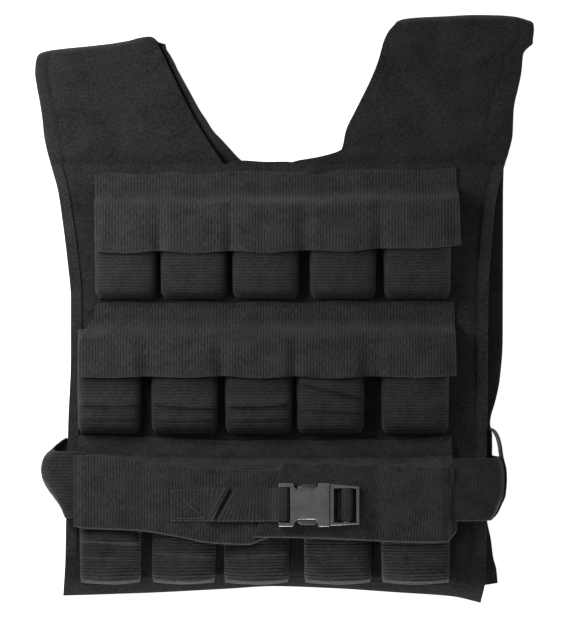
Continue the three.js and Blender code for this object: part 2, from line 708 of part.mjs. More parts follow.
function addBuckle() {
  const middle = wingMiddle('right', buckleStart) - buckleDrop;
  const place = (geometry) => geometry.translate(buckleStart, middle, buckleLevel);
  addPiece('buckle_female', place(fromManifold(buildFemale())), plastic);
  addPiece('buckle_male', place(fromManifold(buildMale())), plastic);

  const ply = strapThickness / 2 + layerGap;
  const barTop = barMiddle + buckleBarHeight / 2 + ply;
  const barUnder = barMiddle - buckleBarHeight / 2 - ply;
  const round = 0.9;
  const strapPath = (points) => points.map(({ x, z, skew = 0 }) => [-0.5, 0.5].map((share) => (
    new THREE.Vector3(buckleStart + x + skew * share, middle + strapWidth * share, buckleLevel + z))));

  // The sewn strap: stitched to the left wing, pleated, over the right wing and round the bar.
  const low = strapThickness / 2 - overlapLift;
  const high = strapThickness / 2;
  const sewnStart = -strapFreeLength - strapSewnLength;
  const pleat = strapFreeLength * 0.22;
  const climb = -strapFreeLength + 2 * pleat;
  const beforeBar = -0.2 * strapFreeLength;
  const wrap = buckleBarWidth + ply;
  addPiece('buckle_strap_left', clothAbout(strapPath([
    { x: sewnStart, z: low },
    { x: -strapFreeLength, z: low },
    { x: -strapFreeLength + pleat * 0.35, z: low + pleatHeight, skew: 0.5 * pleat },
    { x: -strapFreeLength + pleat * 0.8, z: low + pleatHeight, skew: pleat },
    { x: -strapFreeLength + pleat * 1.3, z: low + 0.2 * pleatHeight, skew: 0.5 * pleat },
    { x: climb, z: high + layerGap },
    { x: beforeBar, z: high + layerGap },
    { x: -ply, z: barTop },
    { x: wrap - 1.4 * round, z: barTop },
    { x: wrap - 0.3 * round, z: barTop - 0.3 * round },
    { x: wrap, z: barTop - 1.4 * round },
    { x: wrap, z: barUnder + 1.4 * round },
    { x: wrap - 0.3 * round, z: barUnder + 0.3 * round },
    { x: wrap - 1.4 * round, z: barUnder },
    { x: -1, z: barUnder },
  ]), strapThickness), webbing);

  // The short loop: sewn to the right wing and taken once round the ladder frame's middle bar.
  const barStart = frameStart + 0.46 * buckleFrameLength;
  const barEnd = barStart + 0.2 * buckleFrameLength;
  addPiece('buckle_strap_right', clothAbout(strapPath([
    { x: frameStart + 0.2 * buckleFrameLength, z: high },
    { x: barEnd + ply - 1.4 * round, z: high },
    { x: barEnd + ply - 0.3 * round, z: high + 0.3 * round },
    { x: barEnd + ply, z: high + 1.4 * round },
    { x: barEnd + ply, z: barTop - 1.4 * round },
    { x: barEnd + ply - 0.3 * round, z: barTop - 0.3 * round },
    { x: barEnd + ply - 1.4 * round, z: barTop },
    { x: barStart - ply + 1.4 * round, z: barTop },
    { x: barStart - ply + 0.3 * round, z: barTop - 0.3 * round },
    { x: barStart - ply, z: barTop - 1.4 * round },
    { x: barStart - ply, z: barMiddle - 0.2 * buckleBarHeight },
  ]), strapThickness), webbing);
}

addPanels();
addBindings();
addStrap('shoulder_strap_left', leftStrapRows, leftStrapLength, leftStrapTilt);
addStrap('shoulder_strap_right', rightStrapRows, rightStrapLength, -rightStrapTilt);
for (let row = 0; row < rowTable.length; row += 1) {
  for (let column = 0; column < pocketColumns; column += 1) {
    addPocket(row, column);
    addWeight(row, column);
  }
}
addFlap('flap_top', 0);
addFlap('flap_middle', 1);
addFlap('flap_bottom', 2);
addBelt();
addKeeper();
addBuckle();

// The vest rests on the floor with the middle of its outline over the origin.
const bounds = new THREE.Box3().setFromObject(vest);
const centre = bounds.getCenter(new THREE.Vector3());
vest.position.set(-centre.x, -centre.y, -bounds.min.z);

export default vest;
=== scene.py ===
import math

import bmesh
import bpy
import numpy as np
from mathutils import Matrix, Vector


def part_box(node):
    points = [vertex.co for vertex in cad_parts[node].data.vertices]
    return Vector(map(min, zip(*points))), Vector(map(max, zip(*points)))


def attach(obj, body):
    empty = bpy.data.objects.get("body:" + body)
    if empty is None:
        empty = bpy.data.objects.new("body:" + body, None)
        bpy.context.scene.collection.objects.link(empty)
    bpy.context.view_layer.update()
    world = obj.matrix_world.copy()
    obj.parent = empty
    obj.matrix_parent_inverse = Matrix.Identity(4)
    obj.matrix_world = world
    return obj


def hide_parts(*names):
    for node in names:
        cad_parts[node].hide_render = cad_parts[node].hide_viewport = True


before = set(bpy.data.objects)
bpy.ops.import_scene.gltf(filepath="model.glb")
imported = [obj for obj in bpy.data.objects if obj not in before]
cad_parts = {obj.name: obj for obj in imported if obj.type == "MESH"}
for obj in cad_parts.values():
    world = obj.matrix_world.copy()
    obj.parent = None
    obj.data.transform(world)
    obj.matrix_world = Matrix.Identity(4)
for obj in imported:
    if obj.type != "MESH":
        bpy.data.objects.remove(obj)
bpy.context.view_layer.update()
mm = 0.001
print("frame loaded,", len(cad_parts), "nodes")

# The vest is laid out in millimetres about its origin and becomes metres when a mesh is made.
# photoScale is the vest's millimetres for each pixel of the photograph, and photoOrigin is the pixel
# over its origin.
photoScale = 0.95
photoOrigin = (283.91, 309.52)
photoSize = (577, 617)


def fromPhoto(column, row):
    return (np.asarray(column) - photoOrigin[0]) * photoScale, (photoOrigin[1] - np.asarray(row)) * photoScale


def boxOf(node):
    low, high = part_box(node)
    return np.array(low) / mm, np.array(high) / mm


# A smooth curve read from a short table of places and values, level past its ends.
def smoothRead(places, values, at):
    places = np.asarray(places, float)
    values = np.asarray(values, float)
    rises = np.diff(values) / np.diff(places)
    before, after = rises[:-1], rises[1:]
    turning = before * after <= 0
    inner = np.where(turning, 0, 2 * before * after / np.where(turning, 1, before + after))
    slopes = np.concatenate([rises[:1], inner, rises[-1:]])
    at = np.clip(at, places[0], places[-1])
    index = np.clip(np.searchsorted(places, at, side="right") - 1, 0, len(places) - 2)
    gap = places[index + 1] - places[index]
    t = (at - places[index]) / gap
    start = (2 * t**3 - 3 * t**2 + 1) * values[index] + (t**3 - 2 * t**2 + t) * gap * slopes[index]
    end = (3 * t**2 - 2 * t**3) * values[index + 1] + (t**3 - t**2) * gap * slopes[index + 1]
    return start + end


def photoPoints(points):
    return fromPhoto([p[0] for p in points], [p[1] for p in points])


# An edge given as photograph pixels, read across as x for a height y, or down as y for a place x.
def edgeAcross(points, y):
    x, heights = photoPoints(points)
    order = np.argsort(heights)
    return smoothRead(heights[order], x[order], y)


def edgeDown(points, x):
    places, y = photoPoints(points)
    order = np.argsort(places)
    return smoothRead(places[order], y[order], x)


def smoothStep(low, high, value):
    t = np.clip((value - low) / (high - low), 0, 1)
    return t * t * (3 - 2 * t)


def mix(a, b, share):
    return a + (b - a) * share


# Soft unevenness between -1 and 1, with bumps about size across.
def unevenness(x, y, size, seed):
    lattice = np.random.default_rng(seed).uniform(-1, 1, (64, 64))
    gx = np.asarray(x) / size + 32
    gy = np.asarray(y) / size + 32
    ix = np.floor(gx).astype(int)
    iy = np.floor(gy).astype(int)
    tx = gx - ix
    ty = gy - iy
    tx = tx * tx * (3 - 2 * tx)
    ty = ty * ty * (3 - 2 * ty)
    near = mix(lattice[ix % 64, iy % 64], lattice[(ix + 1) % 64, iy % 64], tx)
    far = mix(lattice[ix % 64, (iy + 1) % 64], lattice[(ix + 1) % 64, (iy + 1) % 64], tx)
    return mix(near, far, ty)


# Soft bumps from a piece's own list of heights in mm, widths in mm and steps from its seed
def bumpsOf(size, x, y, seed):
    return sum(height * unevenness(x, y, across, seed + step) for height, across, step in size["bumps"])


# Places along a length at about one step, closer together at both ends where the cloth's edge is rounded.
def stations(length, step, rounding=2.4):
    close = rounding * np.array([0, 0.12, 0.35, 0.65])
    count = max(2, int(round((length - 2 * rounding) / step)) + 1)
    middle = np.linspace(rounding, length - rounding, count)
    return np.concatenate([close, middle, length - close[::-1]])


# Half the cloth's thickness at a distance from its edge.
def roundedHalf(distance, half, rounding=2.0):
    inside = np.clip(np.asarray(distance) / rounding, 0, 1)
    return half * (0.25 + 0.75 * np.sqrt(1 - (1 - inside) ** 2))


# A pressed line in cloth, such as a row of stitches pulls, at a signed distance from its middle.
def pressedLine(distance, depth, width):
    return -depth * np.exp(-((np.asarray(distance) / width) ** 2))


# A fold that rises slowly on one side and drops sharply on the other, along a line between two points.
def foldAlong(x, y, start, end, height, slow, sharp, fade=8.0):
    x0, y0 = fromPhoto(*start)
    x1, y1 = fromPhoto(*end)
    length = math.hypot(x1 - x0, y1 - y0)
    along = ((x - x0) * (x1 - x0) + (y - y0) * (y1 - y0)) / length
    side = ((x - x0) * (y1 - y0) - (y - y0) * (x1 - x0)) / length
    shape = np.where(side < 0, np.exp(-((side / slow) ** 2)), np.exp(-((side / sharp) ** 2)))
    ends = smoothStep(-fade, 0, along) * (1 - smoothStep(length, length + fade, along))
    return height * shape * ends


# Lengths at the points of a line, from the steps between them
def runningSum(steps):
    return np.concatenate([[0], np.cumsum(steps)])


# Points at even lengths along a smooth line through given points
def evenPoints(points, along, count):
    at = np.linspace(0, along[-1], count)
    return np.stack([smoothRead(along, points[:, k], at) for k in range(points.shape[1])], axis=1), at


# Equal grids, or rows and columns that span one, as one grid of points
def gridOf(*parts):
    return np.stack(np.broadcast_arrays(*parts), axis=2)


def gridFaces(rows, columns):
    index = np.arange(rows * columns).reshape(rows, columns)
    corners = [index[:-1, :-1], index[:-1, 1:], index[1:, 1:], index[1:, :-1]]
    return np.stack([corner.ravel() for corner in corners], axis=1)


def newObject(name, data):
    piece = bpy.data.objects.new(name, data)
    bpy.context.scene.collection.objects.link(piece)
    return piece


# A closed mesh between two equal grids of points. flat keeps each point's place on the cut cloth in mm,
# its first number along the webbing so that the ribs lie across it.
def closedCloth(name, upper, lower, flat):
    rows, columns = upper.shape[:2]
    count = rows * columns
    index = np.arange(count).reshape(rows, columns)
    top = gridFaces(rows, columns)
    rim = np.concatenate([index[0, :-1], index[:-1, -1], index[-1, :0:-1], index[:0:-1, 0]])
    following = np.roll(rim, -1)
    sides = np.stack([following, rim, rim + count, following + count], axis=1)
    faces = np.concatenate([top, top[:, ::-1] + count, sides])
    points = np.concatenate([upper.reshape(-1, 3), lower.reshape(-1, 3)]) * mm
    a, b, c, d = (points[faces[:, k]] for k in range(4))
    volume = np.sum(a * np.cross(b, c)) + np.sum(a * np.cross(c, d))
    if volume < 0:
        faces = faces[:, ::-1]
    mesh = bpy.data.meshes.new(name)
    mesh.from_pydata(points.tolist(), [], faces.tolist())
    mesh.update()
    side = np.concatenate([np.zeros(count), np.ones(count)])
    flatPlaces = np.concatenate([flat.reshape(-1, 2), flat.reshape(-1, 2)])
    stored = np.column_stack([flatPlaces, side]).astype(np.float32)
    mesh.attributes.new("flat", "FLOAT_VECTOR", "POINT").data.foreach_set("vector", stored.ravel())
    mesh.shade_smooth()
    return newObject(name, mesh)


def normalsOf(middle):
    normal = np.cross(np.gradient(middle, axis=1), np.gradient(middle, axis=0))
    return normal / np.maximum(np.linalg.norm(normal, axis=2, keepdims=True), 1e-9)


# Cloth on both sides of a grid of points on its middle surface.
def clothAbout(name, middle, half, flat):
    offset = normalsOf(middle) * np.broadcast_to(half, middle.shape[:2])[..., None]
    return closedCloth(name, middle + offset, middle - offset, flat)


# Length along each line of a grid of points, measured from its first point.
def lengthAlong(points, axis):
    steps = np.linalg.norm(np.diff(points, axis=axis), axis=2)
    total = np.cumsum(steps, axis=axis)
    zero = np.zeros_like(np.take(total, [0], axis=axis))
    return np.concatenate([zero, total], axis=axis)


# Nodes: one function adds a node with its settings, its values and its links. in0, in1 and in2 are
# inputs by number.
def addNode(tree, kind, settings=None, **values):
    node = tree.nodes.new(kind)
    for name, value in (settings or {}).items():
        setattr(node, name, value)
    for name, value in values.items():
        numbered = name.startswith("in") and name[2:].isdigit()
        socket = node.inputs[int(name[2:]) if numbered else name]
        if isinstance(value, bpy.types.NodeSocket):
            tree.links.new(value, socket)
        else:
            socket.default_value = value
    return node


# Adds a sum and gives its output, to be an input of the next.
def addSum(tree, operation, *values, clamp=False):
    named = {f"in{index}": value for index, value in enumerate(values)}
    return addNode(tree, "ShaderNodeMath", {"operation": operation, "use_clamp": clamp}, **named).outputs[0]


def addNoise(tree, place, scale, detail, roughness=0.5):
    return addNode(tree, "ShaderNodeTexNoise", Vector=place, Scale=scale, Detail=detail,
                   Roughness=roughness).outputs[0]


# Geometry Nodes: a tree with geometry in and out, named numbers and a material
def newGeometryTree(name, numbers):
    tree = bpy.data.node_groups.new(name, "GeometryNodeTree")
    sockets = tree.interface
    for way in ("OUTPUT", "INPUT"):
        sockets.new_socket("Geometry", in_out=way, socket_type="NodeSocketGeometry")
    for label, value in numbers.items():
        sockets.new_socket(label, in_out="INPUT", socket_type="NodeSocketFloat").default_value = value
    sockets.new_socket("material", in_out="INPUT", socket_type="NodeSocketMaterial")
    return tree, addNode(tree, "NodeGroupInput").outputs


# Ribs pressed across webbing. Every second groove is the strong one.
def makeRibTree():
    driftLength, meanRidge, grooveSharpness = 14, 0.64, 2.5
    tree, given = newGeometryTree("webbingRibs", {"rib spacing": 2.95, "rib depth": 0.3,
                                                  "strong groove": 0.3, "wander": 0.2})
    flat = addNode(tree, "GeometryNodeInputNamedAttribute", {"data_type": "FLOAT_VECTOR"}, Name="flat")
    flat = flat.outputs["Attribute"]
    along = addNode(tree, "ShaderNodeSeparateXYZ", Vector=flat).outputs["X"]
    shrunk = addNode(tree, "ShaderNodeVectorMath", {"operation": "SCALE"}, Vector=flat, Scale=1 / driftLength)
    drift = addNode(tree, "ShaderNodeTexNoise", {"noise_dimensions": "2D"},
                    Vector=shrunk.outputs["Vector"], Scale=1.0, Detail=1.0).outputs[0]
    wandered = addSum(tree, "MULTIPLY", addSum(tree, "SUBTRACT", drift, 0.5), given["wander"])
    phase = addSum(tree, "ADD", addSum(tree, "DIVIDE", along, given["rib spacing"]), wandered)
    angle = addSum(tree, "MULTIPLY", phase, math.pi)
    ridge = addSum(tree, "ABSOLUTE", addSum(tree, "SINE", angle))
    raised = addSum(tree, "MULTIPLY", addSum(tree, "SUBTRACT", ridge, meanRidge), given["rib depth"])
    slowWave = addSum(tree, "SINE", addSum(tree, "MULTIPLY", angle, 0.5))
    nearGroove = addSum(tree, "SUBTRACT", 1.0, addSum(tree, "ABSOLUTE", slowWave))
    sunk = addSum(tree, "MULTIPLY", addSum(tree, "POWER", nearGroove, grooveSharpness), given["strong groove"])
    metres = addSum(tree, "MULTIPLY", addSum(tree, "SUBTRACT", raised, sunk), mm)
    normal = addNode(tree, "GeometryNodeInputNormal").outputs[0]
    offset = addNode(tree, "ShaderNodeVectorMath", {"operation": "SCALE"}, Vector=normal, Scale=metres)
    moved = addNode(tree, "GeometryNodeSetPosition", Geometry=given["Geometry"], Offset=offset.outputs[0])
    real = addNode(tree, "GeometryNodeRealizeInstances", Geometry=moved.outputs[0])
    dressed = addNode(tree, "GeometryNodeSetMaterial", Geometry=real.outputs[0], Material=given["material"])
    addNode(tree, "NodeGroupOutput", Geometry=dressed.outputs[0])
    return tree


# A stitch at every step along drawn seam lines
def makeStitchTree():
    tree, given = newGeometryTree("seamStitches", {"stitch step": 0.0032, "stitch length": 0.0025,
                                                   "thread width": 0.0007})
    line = addNode(tree, "GeometryNodeMeshToCurve", Mesh=given["Geometry"])
    steps = addNode(tree, "GeometryNodeResampleCurve", {"mode": "LENGTH"},
                    Curve=line.outputs[0], Length=given["stitch step"])
    bead = addNode(tree, "GeometryNodeMeshUVSphere", Segments=6, Rings=4, Radius=0.5)
    size = addNode(tree, "ShaderNodeCombineXYZ", X=given["stitch length"], Y=given["thread width"],
                   Z=given["thread width"])
    tangent = addNode(tree, "GeometryNodeInputTangent")
    turn = addNode(tree, "FunctionNodeAlignRotationToVector", {"axis": "X"}, Vector=tangent.outputs[0])
    placed = addNode(tree, "GeometryNodeInstanceOnPoints", Points=steps.outputs[0],
                     Instance=bead.outputs["Mesh"], Rotation=turn.outputs[0], Scale=size.outputs[0])
    real = addNode(tree, "GeometryNodeRealizeInstances", Geometry=placed.outputs[0])
    smooth = addNode(tree, "GeometryNodeSetShadeSmooth", Geometry=real.outputs[0])
    dressed = addNode(tree, "GeometryNodeSetMaterial", Geometry=smooth.outputs[0], Material=given["material"])
    addNode(tree, "NodeGroupOutput", Geometry=dressed.outputs[0])
    return tree


# Turns a Geometry Nodes result into the piece's own plain mesh.
def settleNodes(piece, tree, values):
    modifier = piece.modifiers.new("nodes", "NODES")
    modifier.node_group = tree
    for item in tree.interface.items_tree:
        if item.item_type == "SOCKET" and item.in_out == "INPUT" and item.name in values:
            modifier[item.identifier] = values[item.name]
    graph = bpy.context.evaluated_depsgraph_get()
    mesh = bpy.data.meshes.new_from_object(piece.evaluated_get(graph), preserve_all_data_layers=True,
                                           depsgraph=graph)
    piece.modifiers.remove(modifier)
    mesh.name = piece.name
    piece.data = mesh


def dress(piece, material, slot, *nodes):
    piece.data.materials.clear()
    piece.data.materials.append(material)
    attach(piece, "root")
    if nodes:
        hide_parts(*nodes)


# Presses ribs into webbing and dresses it. A piece's ribs are their spacing, their depth, the strong
# groove's depth, all in mm, and how far they wander.
def finishWebbing(piece, material, slot, node, ribs):
    names = ("rib spacing", "rib depth", "strong groove", "wander")
    settleNodes(piece, ribTree, {"material": material, **dict(zip(names, ribs))})
    dress(piece, material, slot, node)


# Materials
def linear(hexColour):
    values = [int(hexColour[k:k + 2], 16) / 255 for k in (1, 3, 5)]
    return tuple(v / 12.92 if v <= 0.04045 else ((v + 0.055) / 1.055) ** 2.4 for v in values) + (1.0,)


def newMaterial(name):
    material = bpy.data.materials.new(name)
    material.use_nodes = True
    tree = material.node_tree
    tree.nodes.clear()
    shader = addNode(tree, "ShaderNodeBsdfPrincipled")
    addNode(tree, "ShaderNodeOutputMaterial", Surface=shader.outputs["BSDF"])
    return material, tree, shader

# Ends a material: a mix of a dark and a light colour, a bump, and the shader's other inputs.
def finishSurface(tree, shader, colours, bumps, values):
    share, dark, light = colours
    relief, strength, distance = bumps
    colour = addNode(tree, "ShaderNodeMix", {"data_type": "RGBA"})
    tree.links.new(share, colour.inputs["Factor"])
    colour.inputs["A"].default_value = linear(dark)
    colour.inputs["B"].default_value = linear(light)
    tree.links.new(colour.outputs["Result"], shader.inputs["Base Color"])
    bump = addNode(tree, "ShaderNodeBump", Height=relief, Strength=strength, Distance=distance)
    tree.links.new(bump.outputs[0], shader.inputs["Normal"])
    for name, value in values.items():
        shader.inputs[name].default_value = value


# Black cotton canvas, plain woven from dyed yarn: matt, with a faint haze of loose fibre and a fine
# checkered weave. The yarn is about 0.6 mm and is drawn at 1.3 mm so that it shows.
def makeCanvas(name, dark, light, yarn=1.3):
    material, tree, shader = newMaterial(name)
    place = addNode(tree, "ShaderNodeTexCoord").outputs["Object"]
    scaled = addNode(tree, "ShaderNodeMapping", Vector=place, Scale=(1000 / yarn, 1000 / yarn, 1000 / yarn))
    axes = addNode(tree, "ShaderNodeSeparateXYZ", Vector=scaled.outputs[0]).outputs
    waves = [addSum(tree, "SINE", addSum(tree, "MULTIPLY", axes[axis], math.pi)) for axis in ("X", "Y")]
    check = addSum(tree, "MULTIPLY", *waves)
    slub = addNoise(tree, place, 520.0, 4.0, 0.7)
    patch = addNoise(tree, place, 38.0, 4.0, 0.55)
    slubTone = addSum(tree, "MULTIPLY_ADD", slub, 2.6, -0.85)
    patchTone = addSum(tree, "MULTIPLY_ADD", patch, 0.9, -0.45)
    tone = addSum(tree, "ADD", addSum(tree, "ADD", slubTone, patchTone),
                  addSum(tree, "MULTIPLY_ADD", check, 0.16, 0.0), clamp=True)
    relief = addSum(tree, "MULTIPLY_ADD", check, 0.5, slub)
    finishSurface(tree, shader, (tone, dark, light), (relief, 0.6, 0.00035), {
        "Roughness": 0.92, "IOR": 1.45, "Specular IOR Level": 0.2, "Sheen Weight": 0.05,
        "Sheen Roughness": 0.6})
    return material


# Ribbed polypropylene webbing, woven with thick weft cords: the cords are the mesh's ribs, and here the
# fine warp yarns run over them, with a painted highlight on the crests and painted shade in the grooves.
def makeWebbing(name, dark, light, ribSpacing, roughness, paintedRibShade, warp=1.0):
    material, tree, shader = newMaterial(name)
    flat = addNode(tree, "ShaderNodeAttribute", {"attribute_name": "flat", "attribute_type": "GEOMETRY"})
    place = flat.outputs["Vector"]
    axes = addNode(tree, "ShaderNodeSeparateXYZ", Vector=place).outputs
    # A wave along the webbing, one crest to each rib, carries the painted light and shade across the ribs.
    ribShadeWave = addSum(tree, "SINE", addSum(tree, "MULTIPLY", axes["X"], math.pi / ribSpacing))
    warpWave = addSum(tree, "SINE", addSum(tree, "MULTIPLY", axes["Y"], 2 * math.pi / warp))
    streakPlace, patchPlace = (
        addNode(tree, "ShaderNodeVectorMath", {"operation": "MULTIPLY"}, in0=place, in1=scale).outputs[0]
        for scale in ((1.05, 0.2, 0.0), (0.05, 0.06, 0.0)))
    streak = addNoise(tree, streakPlace, 1.0, 3.0, 0.65)
    patch = addNoise(tree, patchPlace, 1.0, 2.0)
    # Painted light and shade across the ribs: paler on the crests, darker in the grooves.
    tone = addSum(tree, "MULTIPLY_ADD", addSum(tree, "ABSOLUTE", ribShadeWave), paintedRibShade, -0.6 * paintedRibShade)
    for part, weight in ((streak, 2.1), (patch, 0.75)):
        tone = addSum(tree, "MULTIPLY_ADD", part, weight, tone)
    tone = addSum(tree, "MULTIPLY_ADD", tone, 1.0, -0.93, clamp=True)
    relief = addSum(tree, "MULTIPLY_ADD", warpWave, 0.06, streak)
    finishSurface(tree, shader, (tone, dark, light), (relief, 0.5, 0.0003), {
        "Roughness": roughness, "IOR": 1.49, "Specular IOR Level": 0.3, "Sheen Weight": 0.06,
        "Sheen Roughness": 0.5})
    return material


# Acetal, injection moulded in a lightly spark-eroded mould: a soft sheen over a very fine grain.
def makeAcetal():
    material, tree, shader = newMaterial("mouldedAcetal")
    place = addNode(tree, "ShaderNodeTexCoord").outputs["Object"]
    grain = addNoise(tree, place, 2200.0, 2.0)
    rub = addNoise(tree, place, 120.0, 4.0)
    rough = addNode(tree, "ShaderNodeMapRange", Value=rub, **{"To Min": 0.38, "To Max": 0.52})
    tree.links.new(rough.outputs[0], shader.inputs["Roughness"])
    finishSurface(tree, shader, (rub, "#404040", "#6a6a6a"), (grain, 0.25, 0.0001), {"IOR": 1.48})
    return material


# Cast iron, sand cast and blackened: a pebbled skin with faint rust in the hollows.
def makeIron():
    material, tree, shader = newMaterial("sandCastIron")
    place = addNode(tree, "ShaderNodeTexCoord").outputs["Object"]
    sand = addNoise(tree, place, 900.0, 4.0)
    rust = addNoise(tree, place, 90.0, 5.0)
    ramp = addNode(tree, "ShaderNodeMapRange", Value=rust, **{"From Min": 0.55, "From Max": 0.75})
    finishSurface(tree, shader, (ramp.outputs[0], "#2e2f30", "#4a382c"), (sand, 0.7, 0.0004),
                  {"Roughness": 0.62, "Metallic": 0.7})
    return material


ribTree = makeRibTree()
stitchTree = makeStitchTree()
canvasCloth = makeCanvas("blackCottonCanvas", "#0b0b0d", "#303033")
bindingCloth = makeCanvas("turnedCanvasEdge", "#101012", "#38383b", yarn=1.1)
ribbedWebbing = makeWebbing("ribbedWebbing", "#040404", "#383838", 2.95, 0.85, paintedRibShade=0.5)
# A darker copy of the ribbed webbing: painted shade for the pockets and the belt's turns.
pocketWebbing = makeWebbing("pocketWebbing", "#030303", "#303030", 2.95, 0.88, paintedRibShade=0.4)
narrowStrapWebbing = makeWebbing("narrowStrapWebbing", "#050506", "#333335", 3.1, 0.72, paintedRibShade=0.6)
polyesterThread = makeCanvas("polyesterThread", "#161617", "#3a3a3c", yarn=0.5)
# Paler thread, used for the narrow strap's stitches.
paleThread = makeCanvas("palePolyesterThread", "#2c2c2e", "#5c5c60", yarn=0.5)
acetal = makeAcetal()
castIron = makeIron()
print("materials made")

seams = {"canvas": [], "webbing": [], "strap": []}


# Keeps a line of points on a piece's skin as a seam, raised a little above it.
def addSeam(kind, points, lift=0.1):
    points = np.array(points, float)
    points[:, 2] += lift
    seams[kind].append(points)


# Front of the body: quilted canvas with a turned hem and side seams
frontPanel = {
    "thickness": 3.0,
    "step": 3.6,
    "left": [(49.5, 163), (51.5, 170), (57, 190), (61.5, 220), (66.5, 260), (70, 300), (70, 360),
             (67.5, 420), (65.5, 500), (64.5, 560), (62, 600)],
    "right": [(506, 163), (502, 177), (497, 195), (492.5, 240), (489, 300), (488, 430), (487, 540),
              (486, 581), (481, 606)],
    "hem": [(62, 597), (150, 594), (226, 590), (270, 587.5), (330, 589.5), (400, 594), (450, 597.5),
            (483, 604.5)],
    "neckline": [(229, 163), (236, 160.8), (244, 159.8), (256, 160.6), (268, 161.2), (280, 161), (288, 161),
                 (294, 162), (298, 163)],
    "hemFold": 9.0,
    "hemFoldHeight": 0.45,
    "hemDroop": 4.5,
    "hemDroopFrom": 15,
    "seamDrop": 2.0,
    "neckReach": 20,
    "sideSeam": 11.0,
    "sideGroove": (0.4, 2.6),  # depth and width
    "hemGroove": (0.6, 1.2),
    "bumps": [(0.7, 42, 0), (0.35, 17, 1)],
    "seed": 3,
}


# Height of the front panel's skin over its flat middle, towards the free edges
def panelWave(x, y):
    top = boxOf("front_panel")[1][1]
    hemY = edgeDown(frontPanel["hem"], x)
    wave = bumpsOf(frontPanel, x, y, frontPanel["seed"]) * smoothStep(0, 30, top - y)
    droop = frontPanel["hemDroop"] * (1 - smoothStep(0, frontPanel["hemDroopFrom"], y - hemY)) ** 1.3
    return wave, -frontPanel["seamDrop"] * (1 - smoothStep(0, 9, top - y)) - droop


def buildFrontPanel():
    size = frontPanel
    low, high = boxOf("front_panel")
    top = high[1]
    across = stations(high[0] - low[0], size["step"]) / (high[0] - low[0])
    down = stations(high[1] - low[1], size["step"]) / (high[1] - low[1])
    u, v = np.meshgrid(across, down)
    left, right = (edgeAcross(size[side], mix(top, low[1], v)) for side in ("left", "right"))
    hemY = edgeDown(size["hem"], mix(left[-1], right[-1], across))[None, :]
    y = mix(top, hemY, v)
    left, right = (edgeAcross(size[side], y) for side in ("left", "right"))
    x = mix(left, right, u)
    neckX, neckY = photoPoints(size["neckline"])
    rise = smoothRead(neckX, neckY, x) - top
    rise = np.where((x > neckX[0]) & (x < neckX[-1]), rise, 0)
    y = y + rise * (1 - smoothStep(0, size["neckReach"], top - y))
    side = np.minimum(x - left, right - x)
    overHem = y - hemY
    free = 1 - smoothStep(10, 24, side) * smoothStep(12, 30, overHem)
    wave, droop = panelWave(x, y)
    z = (low[2] + high[2]) / 2 + free * wave + droop
    pressed = pressedLine(side - size["sideSeam"] - 1.5, *size["sideGroove"])
    pressed = pressed + pressedLine(overHem - size["hemFold"], *size["hemGroove"])
    fold = size["hemFoldHeight"] * (1 - smoothStep(size["hemFold"] - 2, size["hemFold"], overHem))
    thick = roundedHalf(np.minimum(side, overHem), size["thickness"] / 2)
    upper = gridOf(x, y, z + (thick + pressed + fold))
    piece = closedCloth("frontPanel", upper, gridOf(x, y, z - thick), gridOf(x, y))
    dress(piece, canvasCloth, "canvas", "front_panel")
    hemRow = int(np.argmin(abs(overHem[:, 40] - size["hemFold"])))
    addSeam("canvas", upper[hemRow, 5:-5])
    seamColumn = int(np.argmin(abs(side[len(down) // 2] - size["sideSeam"])))
    for column in (seamColumn, len(across) - 1 - seamColumn):
        addSeam("canvas", upper[4:-5, column])


# Back of the body, under the front, stepped up over the belt's back band
backPanel = {
    "thickness": 3.0,
    "step": 4.2,
    "corner": {"reach": 16, "rise": 2.5, "from": 40},
    "wave": 1.4,
    "seam": 9,
    "groove": (0.5, 1.3),
    "left": [(51.5, 163), (59, 190), (64.5, 230), (69, 270), (72, 310), (72, 360), (69.5, 420), (67.5, 500),
             (66, 587)],
    "right": [(505, 163), (504.3, 200), (504, 340), (501, 380), (497, 400), (491.2, 424), (493.4, 434),
              (493.2, 458), (489, 476), (487, 500), (488, 520), (492, 540), (494.5, 560), (497.5, 572),
              (499, 588)],
}


def buildBackPanel():
    size = backPanel
    low, high = boxOf("back_panel")
    bandLow, bandHigh = boxOf("belt_back")
    half = size["thickness"] / 2
    width, height = high[0] - low[0], high[1] - low[1]
    u, d = np.meshgrid(stations(width, size["step"]) / width, stations(height, size["step"]))
    y = high[1] - d
    left, right = (edgeAcross(size[side], y) for side in ("left", "right"))
    x = mix(left, right, u)
    corner = size["corner"]
    nearCorner = np.clip((x - right + corner["reach"]) / corner["reach"], 0, 1)
    y = y + smoothStep(height - corner["from"], height, d) * nearCorner * corner["rise"]
    side = np.minimum(x - left, right - x)
    lifted = smoothStep(bandLow[1] - 9, bandLow[1] - 1.5, y)
    lifted = lifted * (1 - smoothStep(bandHigh[1] + 5, bandHigh[1] + 12, y))
    free = smoothStep(right - 30, right - 6, x)
    wavy = free * (0.5 + 0.5 * unevenness(x, y, 30, 8)) * (1 - lifted)
    z = half + (bandHigh[2] + 0.3) * lifted + size["wave"] * wavy
    thick = roundedHalf(np.minimum(side, y - low[1] + 0.3), half)
    upper = gridOf(x, y, z + thick + pressedLine(side - size["seam"], *size["groove"]))
    piece = closedCloth("backPanel", upper, gridOf(x, y, np.maximum(z - thick, 0)), gridOf(x, y))
    dress(piece, canvasCloth, "canvas", "back_panel")
    addSeam("canvas", upper[4:-4, -1 - int(np.argmin(abs(side[5, ::-1] - size["seam"])))])


# Turned edge strips along both sides of the front
edgeBinding = {"width": 10.2, "thickness": 0.8, "step": 3.0, "gap": 0.4, "stitch": 2.2, "groove": (0.25, 0.8),
               "bumps": [(0.2, 14, 0)], "wander": (0.5, 35), "seed": 21}


